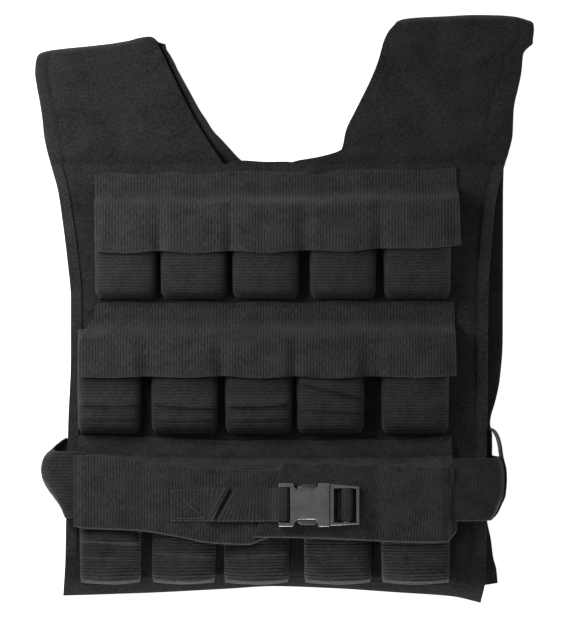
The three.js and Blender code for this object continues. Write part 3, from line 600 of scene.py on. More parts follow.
def buildBindings():
    size = edgeBinding
    half = size["thickness"] / 2
    for name, node, side, inward in (("edgeBindingLeft", "edge_binding_left", "left", 1),
                                     ("edgeBindingRight", "edge_binding_right", "right", -1)):
        low, high = boxOf(node)
        a, d = np.meshgrid(stations(size["width"], 1.0, 0.8), stations(high[1] - low[1], size["step"]))
        y = high[1] - d
        wander = size["wander"][0] * unevenness(y, 0 * y, size["wander"][1], size["seed"])
        x = edgeAcross(frontPanel[side], y) + inward * (a + size["gap"] + wander * smoothStep(0, 6, a))
        wave, droop = panelWave(x, y)
        z = low[2] + half + wave + droop + bumpsOf(size, x, y, size["seed"] + 1) + 0.1
        thick = roundedHalf(np.minimum(a, size["width"] - a), half, 0.8)
        upper = gridOf(x, y, z + (thick + pressedLine(a - size["width"] + size["stitch"], *size["groove"])))
        piece = closedCloth(name, upper, gridOf(x, y, z - thick), gridOf(x, y))
        dress(piece, bindingCloth, "binding", node)
        addSeam("canvas", upper[2:-2, -5])


# Shoulder straps: canvas that folds over the shoulder, with a wide turned band along the outer edge
leftStrap = {
    "outer": [(49.5, 163), (46, 150), (43, 135), (41.5, 120), (38.5, 100), (35.2, 82), (34, 72), (34.6, 62),
              (37.5, 53)],
    "frontNeck": [(223, 163), (220, 158.5), (211, 145), (199, 126), (190, 110), (177, 84), (166, 61),
                  (161, 50), (157, 43), (153, 37.5)],
    "backNeck": [(247, 163), (240, 158.7), (231.5, 150), (222, 139.5), (213, 130), (206, 119), (200, 110),
                 (189, 90), (178, 70), (170, 54), (166.5, 50), (165, 44), (160, 43), (154, 37)],
    "top": [(34, 61), (37, 55.5), (41, 52.6), (50, 50.3), (60, 49), (100, 44.6), (125, 41), (140, 37.6),
            (149, 36.6), (153, 38), (156, 40.5), (163, 45), (167, 50)],
    "band": [(163, 15), (144, 18), (117, 16.5), (90, 14.5), (60, 13)],
    "seed": 31,
}
rightStrap = {
    "outer": [(506, 163), (510, 150), (513.5, 134), (514.5, 110), (516, 100), (518.5, 90), (522.5, 70),
              (523.5, 58), (524.5, 52), (530, 46), (534.2, 42), (533.6, 37), (535, 31), (534.6, 24),
              (532, 20)],
    "frontNeck": [(286, 163), (301, 159.2), (319, 156.3), (336, 151.6), (340.5, 150.2), (342, 148),
                  (346, 130), (356, 109), (366.5, 88), (373, 74), (379, 58), (384, 40), (389, 30), (396, 23)],
    "backNeck": [(289, 163), (304, 159.2), (322, 156.3), (338, 151.6), (342, 150.2), (343.5, 148),
                 (347.5, 130), (357.5, 109), (367.5, 88), (374, 74), (379.5, 58), (384.5, 40), (389, 30),
                 (396, 23)],
    "top": [(386, 34), (391, 27), (397, 22), (405, 19), (420, 17.5), (445, 16.4), (475, 15), (500, 15.4),
            (516, 16.8), (527, 19.8), (533, 22.5), (535, 26)],
    "band": [(163, 19), (140, 25), (110, 24), (80, 20), (50, 17), (25, 14)],
    "seed": 37,
}
strapShape = {"thickness": 3.0, "step": 2.9, "puff": 1.3, "backLift": 7.0, "seamOverlap": 1.4,
              "neckSeam": 7.5, "neckGroove": (0.6, 1.6), "bandGroove": (1.5, 2.4), "bandRise": 0.8,
              "seamDrop": 2.0, "peek": 5.0, "turnSteps": 12, "bumps": [(0.9, 46, 0), (0.4, 19, 1)]}


def buildStrap(name, node, size):
    low, high = boxOf(node)
    shape = strapShape
    half = shape["thickness"] / 2
    seam = low[1] - shape["seamOverlap"]
    radius = (high[2] - low[2]) / 2 - half
    topRow = np.array([fromPhoto(*point)[1] for point in size["top"]]).max()
    length = topRow - seam - radius
    width = high[0] - low[0]
    outward = 1 if low[0] + high[0] > 0 else -1
    across = stations(width, shape["step"]) / width
    climb = stations(length, shape["step"]) / length
    turn = np.linspace(0, 1, shape["turnSteps"])[1:-1]
    up = np.concatenate([climb, np.ones(len(turn)), climb[::-1]])
    around = np.concatenate([np.zeros(len(climb)), turn, np.ones(len(climb))])
    u, v = np.meshgrid(across, up)
    t = np.meshgrid(across, around)[1]

    def edgesAt(y):
        neck = mix(edgeAcross(size["frontNeck"], y), edgeAcross(size["backNeck"], y), t)
        return edgeAcross(size["outer"], y), neck

    outer, neck = edgesAt(mix(seam, topRow, v))
    topY = edgeDown(size["top"], mix(outer, neck, u))
    y = mix(seam, topY - radius, v) + radius * np.sin(np.pi * t)
    outer, neck = edgesAt(y)
    x = mix(outer, neck, u)
    z = (high[2] + low[2]) / 2 + radius * np.cos(np.pi * t)
    fromOuter = abs(x - outer)
    fromNeck = abs(neck - x)
    inside = smoothStep(0, 26, fromOuter) * smoothStep(0, 22, fromNeck)
    front = 1 - smoothStep(0.0, 0.35, t)
    bandHeights = fromPhoto(0, [point[0] for point in size["band"]])[1]
    order = np.argsort(bandHeights)
    bandWidth = smoothRead(bandHeights[order], np.array([p[1] for p in size["band"]])[order] * photoScale, y)
    seamDip = smoothStep(0, 11, y - seam)
    soft = bumpsOf(shape, x, y, size["seed"])
    crease = pressedLine(fromOuter - bandWidth, *shape["bandGroove"])
    crease = crease + pressedLine(fromNeck - shape["neckSeam"], *shape["neckGroove"])
    raised = shape["bandRise"] * (1 - smoothStep(bandWidth - 3, bandWidth, fromOuter))
    raised = raised * smoothStep(0, 4, fromOuter)
    z = z + front * (seamDip * (inside * (shape["puff"] + soft) + 0.6 * raised)
                     - shape["seamDrop"] * (1 - seamDip))
    peek = np.clip(outward * (edgeAcross(size["frontNeck"], y) - x) / shape["peek"], 0, 1)
    z = z + shape["backLift"] * smoothStep(0, 1, peek) * smoothStep(0.5, 0.9, t) * smoothStep(0, 25, y - seam)
    thick = roundedHalf(np.minimum(fromOuter, fromNeck), half, 2.4)
    thick = thick * (0.82 + 0.18 * smoothStep(0, 5, np.where(t > 0.5, 9.0, y - seam)))
    middle = gridOf(x, y, z)
    normal = normalsOf(middle)
    if normal[len(climb) // 2, len(across) // 2, 2] < 0:
        normal = -normal
    upper = middle + normal * (thick + crease * front + raised * front)[..., None]
    lower = middle - normal * thick[..., None]
    for grid in (upper, lower):
        grid[..., 2] = np.maximum(grid[..., 2], 0)
    piece = closedCloth(name, upper, lower, gridOf(x, y))
    dress(piece, canvasCloth, "canvas", node)
    bandColumns = np.argmin(abs(fromOuter - bandWidth), axis=1)
    addSeam("canvas", [upper[row, bandColumns[row]] for row in range(3, len(climb))])
    neckColumn = int(np.argmin(abs(fromNeck[len(climb) // 2] - shape["neckSeam"])))
    addSeam("canvas", upper[6:len(climb), neckColumn])
    print(name, "made")


# Pockets: loops of ribbed webbing over the bars, sewn down at their lower ends
pocketShape = {
    "wall": 2.0,
    "across": 22,
    "ribs": (2.95, 0.26, 0.12, 1.0),
    "stepsToRib": 5,
    "boxiness": 4.4,
    "crown": 1.6,
    "bulge": 0.6,
    "lean": 1.0,
    "sag": 2.0,
    "bumps": [(0.7, 22, 0), (0.3, 9, 50)],
    "close": [[1.0, 0.97, 0.84, 0.52, 0.2], [1.0, 0.97, 0.84, 0.52, 0.2], [0.88, 0.84, 0.8, 0.42, 0.22]],
    "closeFrom": [[16, 10, 5, 1.8, 0], [16, 10, 5, 1.8, 0], [9, 5.5, 3, 0.9, 0]],
    "cornerRound": [3.4, 3.2, 0.8],
}
# Folds in the slack cloth below the bars, as photograph pixels from one end to the other.
pocketFolds = {
    "pocket_r2_c1": [((80, 404), (142, 403), 3.4, 7, 1.6), ((80, 418), (142, 419), 1.4, 5, 2)],
    "pocket_r2_c2": [((152, 403), (219, 407), 4.6, 7, 1.5), ((152, 420), (219, 419), 1.8, 5, 2)],
    "pocket_r2_c3": [((226, 406), (294, 403), 4.2, 6, 1.6), ((226, 421), (294, 418), 1.8, 5, 2)],
    "pocket_r2_c4": [((298, 382), (366, 399), 3.8, 8, 1.6), ((298, 409), (366, 412), 1.6, 6, 2)],
    "pocket_r2_c5": [((384, 409), (451, 404), 2.2, 8, 2.2)],
    "pocket_r3_c1": [((80, 540), (142, 543), 1.6, 6, 1.5), ((80, 556), (110, 557), 0.8, 4, 1.5)],
    "pocket_r3_c2": [((160, 552), (214, 556), 0.7, 6, 2)],
    "pocket_r3_c3": [((228, 557), (290, 552), 0.7, 6, 2)],
    "pocket_r1_c1": [((98, 268), (150, 266), 1.3, 6, 2)],
    "pocket_r1_c2": [((164, 264), (229, 258), 1.8, 5, 1.6), ((164, 281), (229, 283), 1.1, 5, 2)],
    "pocket_r1_c3": [((236, 274), (298, 271), 1.6, 6, 1.8)],
    "pocket_r1_c4": [((313, 268), (375, 272), 1.5, 6, 1.8)],
    "pocket_r1_c5": [((388, 272), (450, 268), 1.4, 6, 1.8)],
}


# Half section of a pocket: a soft box from its foot to its middle, read evenly along its length.
def pocketSection(halfWidth, height, crown, count, boxiness):
    theta = np.linspace(0, np.pi, 400)
    power = 2 / boxiness
    x = -halfWidth * np.sign(np.cos(theta)) * abs(np.cos(theta)) ** power
    z = height * np.sin(theta) ** power + crown * np.cos(x / halfWidth * np.pi / 2) ** 2
    along = runningSum(np.hypot(np.diff(x), np.diff(z)))
    at = np.linspace(0, along[-1], count)
    return np.interp(at, along, x), np.interp(at, along, z)


def buildPocket(row, column):
    size = pocketShape
    node = f"pocket_r{row}_c{column}"
    low, high = boxOf(node)
    seed = 100 + 10 * row + column
    random = np.random.default_rng(seed)
    width, length = high[0] - low[0], high[1] - low[1]
    middleX = (low[0] + high[0]) / 2
    count = int(length / size["ribs"][0] * size["stepsToRib"]) + 1
    down = np.linspace(0, length, count)
    depth = high[2] - low[2] - 1
    places = [0, 4, 9, 20, 60] + [length - before for before in size["closeFrom"][row - 1]]
    lifts = smoothRead(places, [0.5, 0.86, 0.98, 1, 1] + size["close"][row - 1], down)
    lean = random.uniform(-size["lean"], size["lean"])
    outer, inner = np.zeros((2, count, size["across"], 3))
    for points, wall in ((outer, 0), (inner, size["wall"])):
        for index, (place, lift) in enumerate(zip(down, lifts)):
            pinch = size["bulge"] * math.sin(math.pi * place / length) ** 2
            pinch -= size["cornerRound"][row - 1] * float(smoothStep(length - 9, length, place)) ** 2
            x, z = pocketSection(width / 2 - wall + pinch, max(depth * lift - wall, 0.4), size["crown"] * lift,
                                 size["across"], size["boxiness"])
            skin = [middleX + x + lean * z / depth, np.full_like(x, high[1] - place), low[2] + z]
            points[index] = np.stack(skin, axis=1)
    x, y = outer[..., 0], outer[..., 1]
    rise = (outer[..., 2] - low[2]) / depth
    soft = bumpsOf(size, x, y, seed)
    for start, finish, height, slow, sharp in pocketFolds.get(node, []):
        soft = soft + foldAlong(x, y, start, finish, height, slow, sharp)
    slack = smoothStep(6, 16, length - down[:, None])
    outer[..., 2] += soft * smoothStep(0.5, 0.9, rise) * smoothStep(0, 8, down[:, None]) * slack
    if row == 3:
        sag = smoothStep(0.86 * length, length, down)[:, None] * np.cos((x - middleX) / width * np.pi)
        for points in (outer, inner):
            points[..., 1] -= size["sag"] * sag
    across = lengthAlong(outer, 1)
    flat = gridOf(down[:, None] + random.uniform(0, 3), across)
    piece = closedCloth("pocketR%dC%d" % (row, column), outer, inner, flat)
    # The pockets take the darker webbing, with painted shade.
    finishWebbing(piece, pocketWebbing, "webbing", node, size["ribs"])
    addSeam("webbing", outer[-3, 3:-3])


# Height over the floor of cloth laid over a row of pockets, which sinks between one and the next.
def coverHeight(row, x, level, dip):
    inset, ease = 8, 13.0
    plateau = np.zeros_like(x)
    for column in (1, 2, 3, 4, 5):
        low, high = boxOf(f"pocket_r{row}_c{column}")
        outside = np.maximum(low[0] + inset - x, x - high[0] + inset)
        plateau = np.maximum(plateau, 1 - smoothStep(0, ease, outside))
    return level - dip * (1 - plateau)


# Flaps: wide ribbed webbing, sewn flat along the top and laid over the bars
flapRows = {
    1: {"node": "flap_top", "name": "flapTop", "seed": 51, "rows": 30, "lean": 0.0,
        "spread": [0, 0.2, 0.4, 0.6, 0.8, 1],
        "top": [(94, 174.5), (112, 172.5), (150, 174), (170, 171), (200, 174), (230, 170.5), (255, 170.5),
                (290, 172), (306, 171), (318, 174), (340, 169), (380, 168.5), (420, 170), (457, 167)],
        "bottom": [(95, 252), (128, 253.5), (158, 251), (195, 253.5), (231, 251), (267, 253), (305, 250.5),
                   (345, 252), (381, 248.5), (420, 248.5), (461.5, 245)]},
    2: {"node": "flap_middle", "name": "flapMiddle", "seed": 52, "rows": 30, "lean": 0.0,
        "spread": [0, 0.2, 0.6, 0.86, 0.95, 1],
        "top": [(96, 303.5), (120, 301.5), (160, 303), (200, 301), (230, 303), (260, 300.5), (300, 303),
                (340, 300), (380, 302), (420, 300), (454.5, 302)],
        "bottom": [(77.5, 377), (110, 378), (148, 376.5), (185, 378), (222, 376), (260, 378.5), (295, 376.5),
                   (330, 379), (374, 376.5), (415, 377.5), (457, 376)]},
    3: {"node": "flap_bottom", "name": "flapBottom", "seed": 53, "rows": 46, "lean": 0.6,
        "spread": [0, 0.2, 0.4, 0.6, 0.8, 1],
        "top": [(78, 436), (95, 434.5), (120, 436), (160, 438), (200, 440), (240, 441), (280, 440),
                (320, 441), (360, 439.5), (400, 440.5), (430, 437.5), (452, 436)],
        "bottom": [(78, 517), (265, 517), (456, 517)]},
}
flapShape = {"thickness": 2.0, "step": 0.66, "ribs": (2.95, 0.38, 0.1, 0.8), "stitchDrop": 18.0, "dip": 5.2,
             "groove": (0.7, 1.1), "bulge": 1.4, "hang": 0.9, "curl": 3.0, "topStitch": 4,
             "bumps": [(0.55, 30, 5), (0.25, 11, 6)]}


def buildFlap(row):
    size = flapRows[row]
    shape = flapShape
    low, high = boxOf(size["node"])
    thickness = shape["thickness"]
    topX, topY = photoPoints(size["top"])
    lowX, lowY = photoPoints(size["bottom"])
    width = (topX[-1] - topX[0] + lowX[-1] - lowX[0]) / 2
    height = high[1] - low[1]
    down = stations(height, height / size["rows"], 1.8)
    u, d = np.meshgrid(np.linspace(0, 1, int(width / shape["step"])), down)
    spread = smoothRead([0, 0.2, 0.36, 0.5, 0.7, 1], size["spread"], d / height)
    x = mix(mix(topX[0], lowX[0], spread), mix(topX[-1], lowX[-1], d / height), u)
    y = mix(smoothRead(topX, topY, x), smoothRead(lowX, lowY, x), d / height)
    dip = shape["dip"] * (0.35 + 0.65 * smoothStep(30, height, d))
    cover = coverHeight(row, x, high[2] - thickness, dip)
    climb = smoothStep(shape["stitchDrop"] + 0.5, 33, d)
    bulge = shape["bulge"] * np.sin(np.pi * np.clip(d / shape["stitchDrop"], 0, 1))
    bulge = bulge * (0.5 + 0.5 * unevenness(x, 0 * y, 24, size["seed"]))
    soft = bumpsOf(shape, x, y, size["seed"])
    hang = smoothStep(height - 26, height, d)
    z = mix(low[2] + 0.2 + bulge, cover + 0.3 + soft * 0.8, climb) + hang * shape["hang"]
    if row == 3:
        curl = smoothStep(mix(lowX[0], lowX[-1], 0.965), lowX[-1], x) * (1 - smoothStep(26, 50, d))
        z = z + shape["curl"] * curl
    edge = np.minimum(np.minimum(d, height - d), np.minimum(u, 1 - u) * width)
    thick = roundedHalf(edge, thickness / 2, 1.4)
    pressed = pressedLine(d - shape["stitchDrop"], *shape["groove"])
    lip = 0.12 * np.exp(-(((height - d) - 1.6) / 1.0) ** 2)
    z = z + thickness / 2
    upper = gridOf(x, y, z + thick + pressed + lip)
    flat = gridOf(x - topX[0] + size["lean"] * d, d)
    piece = closedCloth(size["name"], upper, gridOf(x, y, z - thick), flat)
    finishWebbing(piece, ribbedWebbing, "webbing", size["node"], shape["ribs"])
    for drop in (shape["stitchDrop"], shape["topStitch"]):
        addSeam("webbing", upper[int(np.argmin(abs(down - drop))), 4:-4:6])
    print(size["name"], "made")


# Wings of the waist belt, crossing over the bottom row of pockets. layer is how far the right wing
# rises over the left one.
wingShape = {"thickness": 2.0, "height": 70.0, "step": 0.6, "ribs": (2.95, 0.24, 0.08, 0.6), "rows": 26,
             "dip": 1.3, "layer": 2.3, "endDip": 3.2, "turnDip": 2.9, "bow": 0.8,
             "bumps": [(0.5, 34, 0), (0.2, 12, 3)]}
wings = {
    "left": {"node": "belt_wing_left", "name": "beltWingLeft", "seed": 61, "under": 0.35,
             "top": [(72.6, 455.5), (95, 454.5), (117, 457), (160, 463), (205, 468), (270, 470), (364, 474)],
             "bottom": [(72.6, 526), (84, 528), (137, 530.5), (175, 536), (212, 543), (248, 544.5),
                        (262, 540), (275, 536), (364, 536)]},
    "right": {"node": "belt_wing_right", "name": "beltWingRight", "seed": 62, "under": 0.55,
              "start": (283.5, 252.5),
              "top": [(250, 462), (283, 462), (340, 463.5), (400, 466), (430, 467), (461, 465.5)],
              "bottom": [(250, 537), (290, 537.5), (340, 539), (400, 542), (430, 542.5), (447, 541.5),
                         (453, 536), (461, 524)]},
}


def buildWing(side):
    size = wings[side]
    shape = wingShape
    low, high = boxOf(size["node"])
    width, height = high[0] - low[0], shape["height"]
    thickness = shape["thickness"]
    down = stations(height, height / shape["rows"], 1.8)
    u, d = np.meshgrid(np.linspace(0, 1, int(width / shape["step"])), down)
    startTop, startLow = fromPhoto(size["start"], 0)[0] if "start" in size else (low[0], low[0])
    x = mix(mix(startTop, startLow, d / height), high[0], u)
    y = mix(*(smoothRead(*photoPoints(size[edge]), x) for edge in ("top", "bottom")), d / height)
    first = boxOf("pocket_r3_c1")[0][0]
    last = boxOf("pocket_r3_c5")[1][0]
    endDip = shape["endDip"] * smoothStep(0, 7, np.maximum(first + 3 - x, x - last + 3))
    level = high[2] - thickness - (shape["layer"] if side == "right" else 0)
    cover = coverHeight(3, x, level, shape["dip"]) - endDip
    if side == "right":
        leftEnd = boxOf("belt_wing_left")[1][0]
        cover = cover + shape["layer"] * (1 - smoothStep(leftEnd + 1, leftEnd + 16, x))
        cover = cover - shape["turnDip"] * smoothStep(high[0] - 16, high[0] - 2, x)
    soft = bumpsOf(shape, x, y, size["seed"])
    bow = shape["bow"] * np.sin(np.pi * d / height)
    z = cover + size["under"] + 0.5 * soft + bow * 0.6
    edge = np.minimum(np.minimum(d, height - d), np.minimum(u, 1 - u) * width)
    thick = roundedHalf(edge, thickness / 2, 1.4)
    lip = 0.45 * np.exp(-(((height - d) - 1.7) / 1.0) ** 2) + 0.3 * np.exp(-((d - 1.7) / 1.0) ** 2)
    z = z + thickness / 2
    upper = gridOf(x, y, z + thick + lip)
    piece = closedCloth(size["name"], upper, gridOf(x, y, z - thick), gridOf(u * width, d))
    finishWebbing(piece, ribbedWebbing, "webbing", size["node"], shape["ribs"])
    if side == "right":
        addSeam("webbing", upper[3:-3, 8])
    print(size["name"], "made")


# Belt turns round the sides: the path runs from under the back, out and up to the top of the pockets
turnPath = {"out": [0.1, 0.78, 1, 0.96, 0.62], "up": [0, 0.13, 0.36, 0.6, 0.84]}
turnShape = {"thickness": 2.0, "width": 61.0, "ribs": (2.95, 0.24, 0.08, 0.6), "steps": 150,
             "crease": {"height": 0.8, "at": 0.2, "width": 0.045}, "bumps": [(0.5, 13, 0)]}
turns = {
    "left": {"node": "belt_turn_left", "name": "beltTurnLeft", "seed": 71, "edge": 66.0, "tilt": 15.0,
             "lobe": [(67.5, 437), (60, 441), (55.5, 446), (52.5, 449.5), (46, 455), (42, 461), (41, 470),
                      (42.5, 479), (48, 489.5), (55, 499), (60.5, 507), (65.5, 517.5)],
             "upperTop": 449.5, "innerTop": 451.0, "innerLow": 518.0, "sag": 1.2},
    "right": {"node": "belt_turn_right", "name": "beltTurnRight", "seed": 72, "edge": 489.0, "tilt": -3.0,
              "lobe": [(498.5, 457), (501.5, 460), (503.5, 466), (504.6, 474), (504.6, 484), (503.6, 496),
                       (499.6, 505), (495, 514), (488.6, 520)],
              "upperTop": 457.0, "innerTop": 458.5, "innerLow": 521.0, "sag": 0.3},
}


def buildTurn(side):
    size = turns[side]
    shape = turnShape
    width, thickness = shape["width"], shape["thickness"]
    low, high = boxOf(size["node"])
    bandLow, bandHigh = boxOf("belt_back")
    out = -1 if side == "left" else 1
    inner = low[0] if side == "right" else high[0]
    tucked = bandLow[0] + 2 if side == "left" else bandHigh[0] - 2
    across = stations(width, 2.0, 1.8) / width
    base = thickness / 2
    level = high[2] - thickness / 2
    rim = fromPhoto(size["edge"], 0)[0]
    lobeX, lobeY = photoPoints(size["lobe"])
    order = np.argsort(lobeY)
    wingTop, wingLow, upperTop = fromPhoto(0, [size["innerTop"], size["innerLow"], size["upperTop"]])[1]
    rows = []
    for share in across:
        yIn = mix(wingTop, wingLow, share)
        yUnder = mix(bandHigh[1], bandLow[1], share)
        points = [(tucked, yUnder, base)]
        for go, climb in zip(turnPath["out"], turnPath["up"]):
            yOut = mix(mix(lobeY.max(), upperTop, smoothStep(0.2, 0.45, climb)), lobeY.min(), share)
            reach = abs(smoothRead(lobeY[order], lobeX[order], yOut) - rim)
            y = mix(mix(yUnder, yOut, min(1, go * 1.2)), yIn, smoothStep(0.62, 1.0, climb))
            points.append((rim + out * reach * go, y, base + (level - base) * climb))
        points.append((mix(rim, inner, 0.35), mix(yOut, yIn, 0.9), level - size["sag"]))
        points.append((inner, yIn, level + 1.2 - size["sag"]))
        points = np.array(points)
        along = runningSum(np.linalg.norm(np.diff(points, axis=0), axis=1))
        rows.append(evenPoints(points, along, shape["steps"])[0])
    middle = np.array(rows)
    soft = bumpsOf(shape, middle[..., 0] * 1.3, middle[..., 1], size["seed"])
    alongLength = lengthAlong(middle, 1)
    s, w = np.meshgrid(np.linspace(0, 1, shape["steps"]), across)
    if side == "left":
        crease = shape["crease"]
        crease = crease["height"] * np.exp(-(((w - crease["at"]) / crease["width"]) ** 2))
        crease = crease * smoothStep(0.25, 0.5, s) * (1 - smoothStep(0.75, 0.95, s))
        flat = gridOf(w * width, alongLength)
    else:
        crease = 0 * w
        flat = gridOf(alongLength, w * width)
    ends = smoothStep(0, 0.2, s) * (1 - smoothStep(0.88, 1, s))
    middle[..., 0] -= out * crease * 0.6
    middle[..., 2] -= crease * 0.7
    middle[..., 2] += soft * ends
    middle[..., 2] = np.maximum(middle[..., 2], base)
    edge = np.minimum(w, 1 - w) * width
    piece = clothAbout(size["name"], middle, roundedHalf(edge, thickness / 2, 1.4), flat)
    # The turns take the darker webbing, with painted shade, unlike the belt's wings.
    finishWebbing(piece, pocketWebbing, "webbing", size["node"], shape["ribs"])
    for vertex in piece.data.vertices:
        vertex.co.z = max(vertex.co.z, 0.0)
    print(size["name"], "made")


# The band of the belt under the back
beltBand = {"thickness": 1.7, "middle": 1.05, "columnStep": 0.98, "rowStep": 6.0,
            "ribs": (2.95, 0.14, 0.1, 0.3)}


def buildBeltBack():
    size = beltBand
    low, high = boxOf("belt_back")
    width, height = high[0] - low[0], high[1] - low[1]
    across = np.linspace(0, width, int(width / size["columnStep"]))
    a, d = np.meshgrid(across, stations(height, size["rowStep"], 1.8))
    thick = roundedHalf(np.minimum(d, height - d), size["thickness"] / 2, 1.4)
    piece = clothAbout("beltBack", gridOf(low[0] + a, high[1] - d, size["middle"]), thick, gridOf(a, d))
    finishWebbing(piece, ribbedWebbing, "webbing", "belt_back", size["ribs"])


# Keeper: a loop of narrow tape that stands on edge round the belt's right turn
keeper = {"thickness": 1.5, "rise": 16.0, "ribs": (2.0, 0.16, 0.05, 0.2), "steps": 150,
          "route": [(490.6, 428.6), (494, 430.3), (497, 434), (499.6, 440.3), (501.2, 447.5), (502.2, 455),
                    (504, 463), (505.6, 470), (506, 479), (504.8, 495), (500.8, 505), (496, 514.5),
                    (490, 520.5)]}


def buildKeeper():
    size = keeper
    low, high = boxOf("belt_keeper")
    x, y = photoPoints(size["route"])
    along = runningSum(np.hypot(np.diff(x), np.diff(y)))
    line, at = evenPoints(np.column_stack([x, y]), along, size["steps"])
    r, s = np.meshgrid(stations(size["rise"], 2.0, 1.0), at)
    lean = 2.6 * (r / size["rise"] - 0.7)
    middle = gridOf(line[:, :1] + lean, line[:, 1:], low[2] + r)
    thick = roundedHalf(np.minimum(r, size["rise"] - r), size["thickness"] / 2, 1.0)
    piece = clothAbout("beltKeeper", middle, thick, gridOf(s, r))
    finishWebbing(piece, narrowStrapWebbing, "webbing", "belt_keeper", size["ribs"])


# Narrow strap: sewn to the left wing with a crossed box, pleated, and taken round the buckle's bar.
# A second short piece goes round the ladder frame's bar. Columns are the photograph's.
narrowStrap = {"thickness": 1.5, "width": 32.0, "ribs": (3.1, 0.26, 0.12, 0.2), "step": 0.62,
               "pleatSlant": 9.0,
               "boxInset": 2.5, "boxHalf": 13.3, "sewnStart": 170,
               "sewn": [185, 198], "sewnEnd": 207, "pleat": 223.8, "laid": [252, 262, 270],
               "barStart": 280.5, "barEnd": 287.4, "centreRow": 503.8}
shortLoop = {"ribs": (3.1, 0.2, 0.1, 0.2), "width": 30.5, "step": 0.5, "start": 337, "railStart": 343.6,
             "railEnd": 350.2}


def strapGrid(points, width, step):
    points = np.array(points, float)
    along = runningSum(np.linalg.norm(np.diff(points[:, :2], axis=0), axis=1))
    line, at = evenPoints(points, along, int(along[-1] / step))
    a, s = np.meshgrid(stations(width, 2.0, 1.2), at)
    return line, at, a, s


def toX(column):
    return float(fromPhoto(column, 0)[0])


def buildNarrowStraps():
    size = narrowStrap
    half = size["thickness"] / 2
    centre = fromPhoto(0, size["centreRow"])[1]
    wingTop = boxOf("belt_wing_left")[1][2] + 1.1
    overTop = boxOf("belt_wing_right")[1][2] + 1.2
    buckleLow, buckleHigh = boxOf("buckle_female")
    bar = (buckleLow[2] + buckleHigh[2]) / 2
    barStart, barEnd, pleat = toX(size["barStart"]), toX(size["barEnd"]), toX(size["pleat"])
    # Along, height, and how much of the pleat's slant the place has
    path = [(toX(column), wingTop + half, 0) for column in (size["sewnStart"], *size["sewn"])]
    path += [(toX(size["sewnEnd"]), wingTop + half + 0.4, 0)]
    path += [(pleat + go, wingTop + half + rise, slant) for go, rise, slant in (
        (-13, 1.0, 0.25), (-8.5, 2.6, 0.7), (-5.0, 4.2, 1), (-3.4, 3.4, 1), (-2.5, 0.3, 1), (1.6, 0.2, 1),
        (2.8, 3.0, 1), (4.6, 4.6, 0.95), (9, 4.3, 0.75), (16, 3.5, 0.45))]
    path += [(toX(column), overTop + half + rise, slant)
             for column, rise, slant in zip(size["laid"], (0.9, 1.0, 1.3), (0.15, 0, 0))]
    path += [(barStart + go, bar + rise, 0) for go, rise in ((-3, 2.0), (1, 2.9))]
    path += [(barEnd + go, bar + rise, 0) for go, rise in (
        (-1, 2.9), (1.0, 1.6), (1.3, 0), (1.0, -1.6), (-1, -2.8))]
    path += [(barStart, bar - 2.9, 0)]
    line, at, a, s = strapGrid(path, size["width"], size["step"])
    share = a / size["width"] - 0.5
    x = line[:, 0:1] + size["pleatSlant"] * line[:, 2:3] * -share * 2
    y = centre - share * size["width"]
    middle = gridOf(x, y, line[:, 1:2] + 0.25 * unevenness(x, y, 9, 81))
    edge = np.minimum(np.minimum(a, size["width"] - a), s + 0.3)
    piece = clothAbout("buckleStrapLeft", middle, roundedHalf(edge, half, 1.1), gridOf(s, a))
    finishWebbing(piece, narrowStrapWebbing, "strap", "buckle_strap_left", size["ribs"])
    left, right = toX(size["sewnStart"]) + size["boxInset"], toX(size["sewnEnd"]) - size["boxInset"]
    top, low = centre + size["boxHalf"], centre - size["boxHalf"]
    level = wingTop + size["thickness"] + 0.15
    for corners in ([(left, top), (right, top), (right, low), (left, low), (left, top), (right, low)],
                    [(left, low), (right, top)]):
        addSeam("strap", [(x, y, level) for x, y in corners])

    size = shortLoop
    railStart, railEnd = toX(size["railStart"]), toX(size["railEnd"])
    path = [(place, overTop + half + rise, 0) for place, rise in (
        (toX(size["start"]), 0.1), (railStart, 0.1), (railEnd - 1, 0.1), (railEnd + 0.9, 1.0),
        (railEnd + 1.6, 2.6))]
    path += [(place, bar + rise, 0) for place, rise in (
        (railEnd + 1.2, 1.6), (railEnd - 0.6, 2.8), (railStart + 1, 2.8), (railStart - 1.0, 1.4),
        (railStart - 1.2, -0.4))]
    line, at, a, s = strapGrid(path, size["width"], size["step"])
    middle = gridOf(line[:, 0:1], centre - a + size["width"] / 2, line[:, 1:2])
    edge = np.minimum(a, size["width"] - a)
    piece = clothAbout("buckleStrapRight", middle, roundedHalf(edge, half, 1.1), gridOf(s, a))
    finishWebbing(piece, narrowStrapWebbing, "strap", "buckle_strap_right", size["ribs"])
    print("narrow straps made")


# Raised ridges on the two prong pads, where the fingers press
padRidges = {"rows": [484.0, 523.6], "from": 301.0, "to": 316.5, "gap": 1.15, "width": 0.5, "height": 1.1,
             "count": 3, "shrink": 0.8}


def addPadRidges(shape):
    size = padRidges
    for row, inward in zip(size["rows"], (-1, 1)):
        startX, endX = toX(size["from"]), toX(size["to"])
        padY = fromPhoto(0, row)[1]
        near = [v.co for v in shape.verts
                if abs(v.co.y / mm - padY) < 4 and startX - 2 < v.co.x / mm < endX + 2]
        if not near:
            continue
        top = max(place.z for place in near) / mm
        for index in range(size["count"]):
            shrink = size["shrink"] * index
            centre = ((startX + endX) / 2 * mm, (padY + inward * index * size["gap"]) * mm, top * mm)
            ridge = Matrix.Translation(centre) @ Matrix.Diagonal(
                ((endX - startX - 2 * shrink) * mm, size["width"] * mm, size["height"] * mm, 1))
            bmesh.ops.create_cube(shape, size=1.0, matrix=ridge)


# Buckle: the frame's own solids, copied, merged and rounded, with ribbed prong pads added
rounding = {"width": 0.0005, "from": 25, "sharp": 40}  # metres and degrees


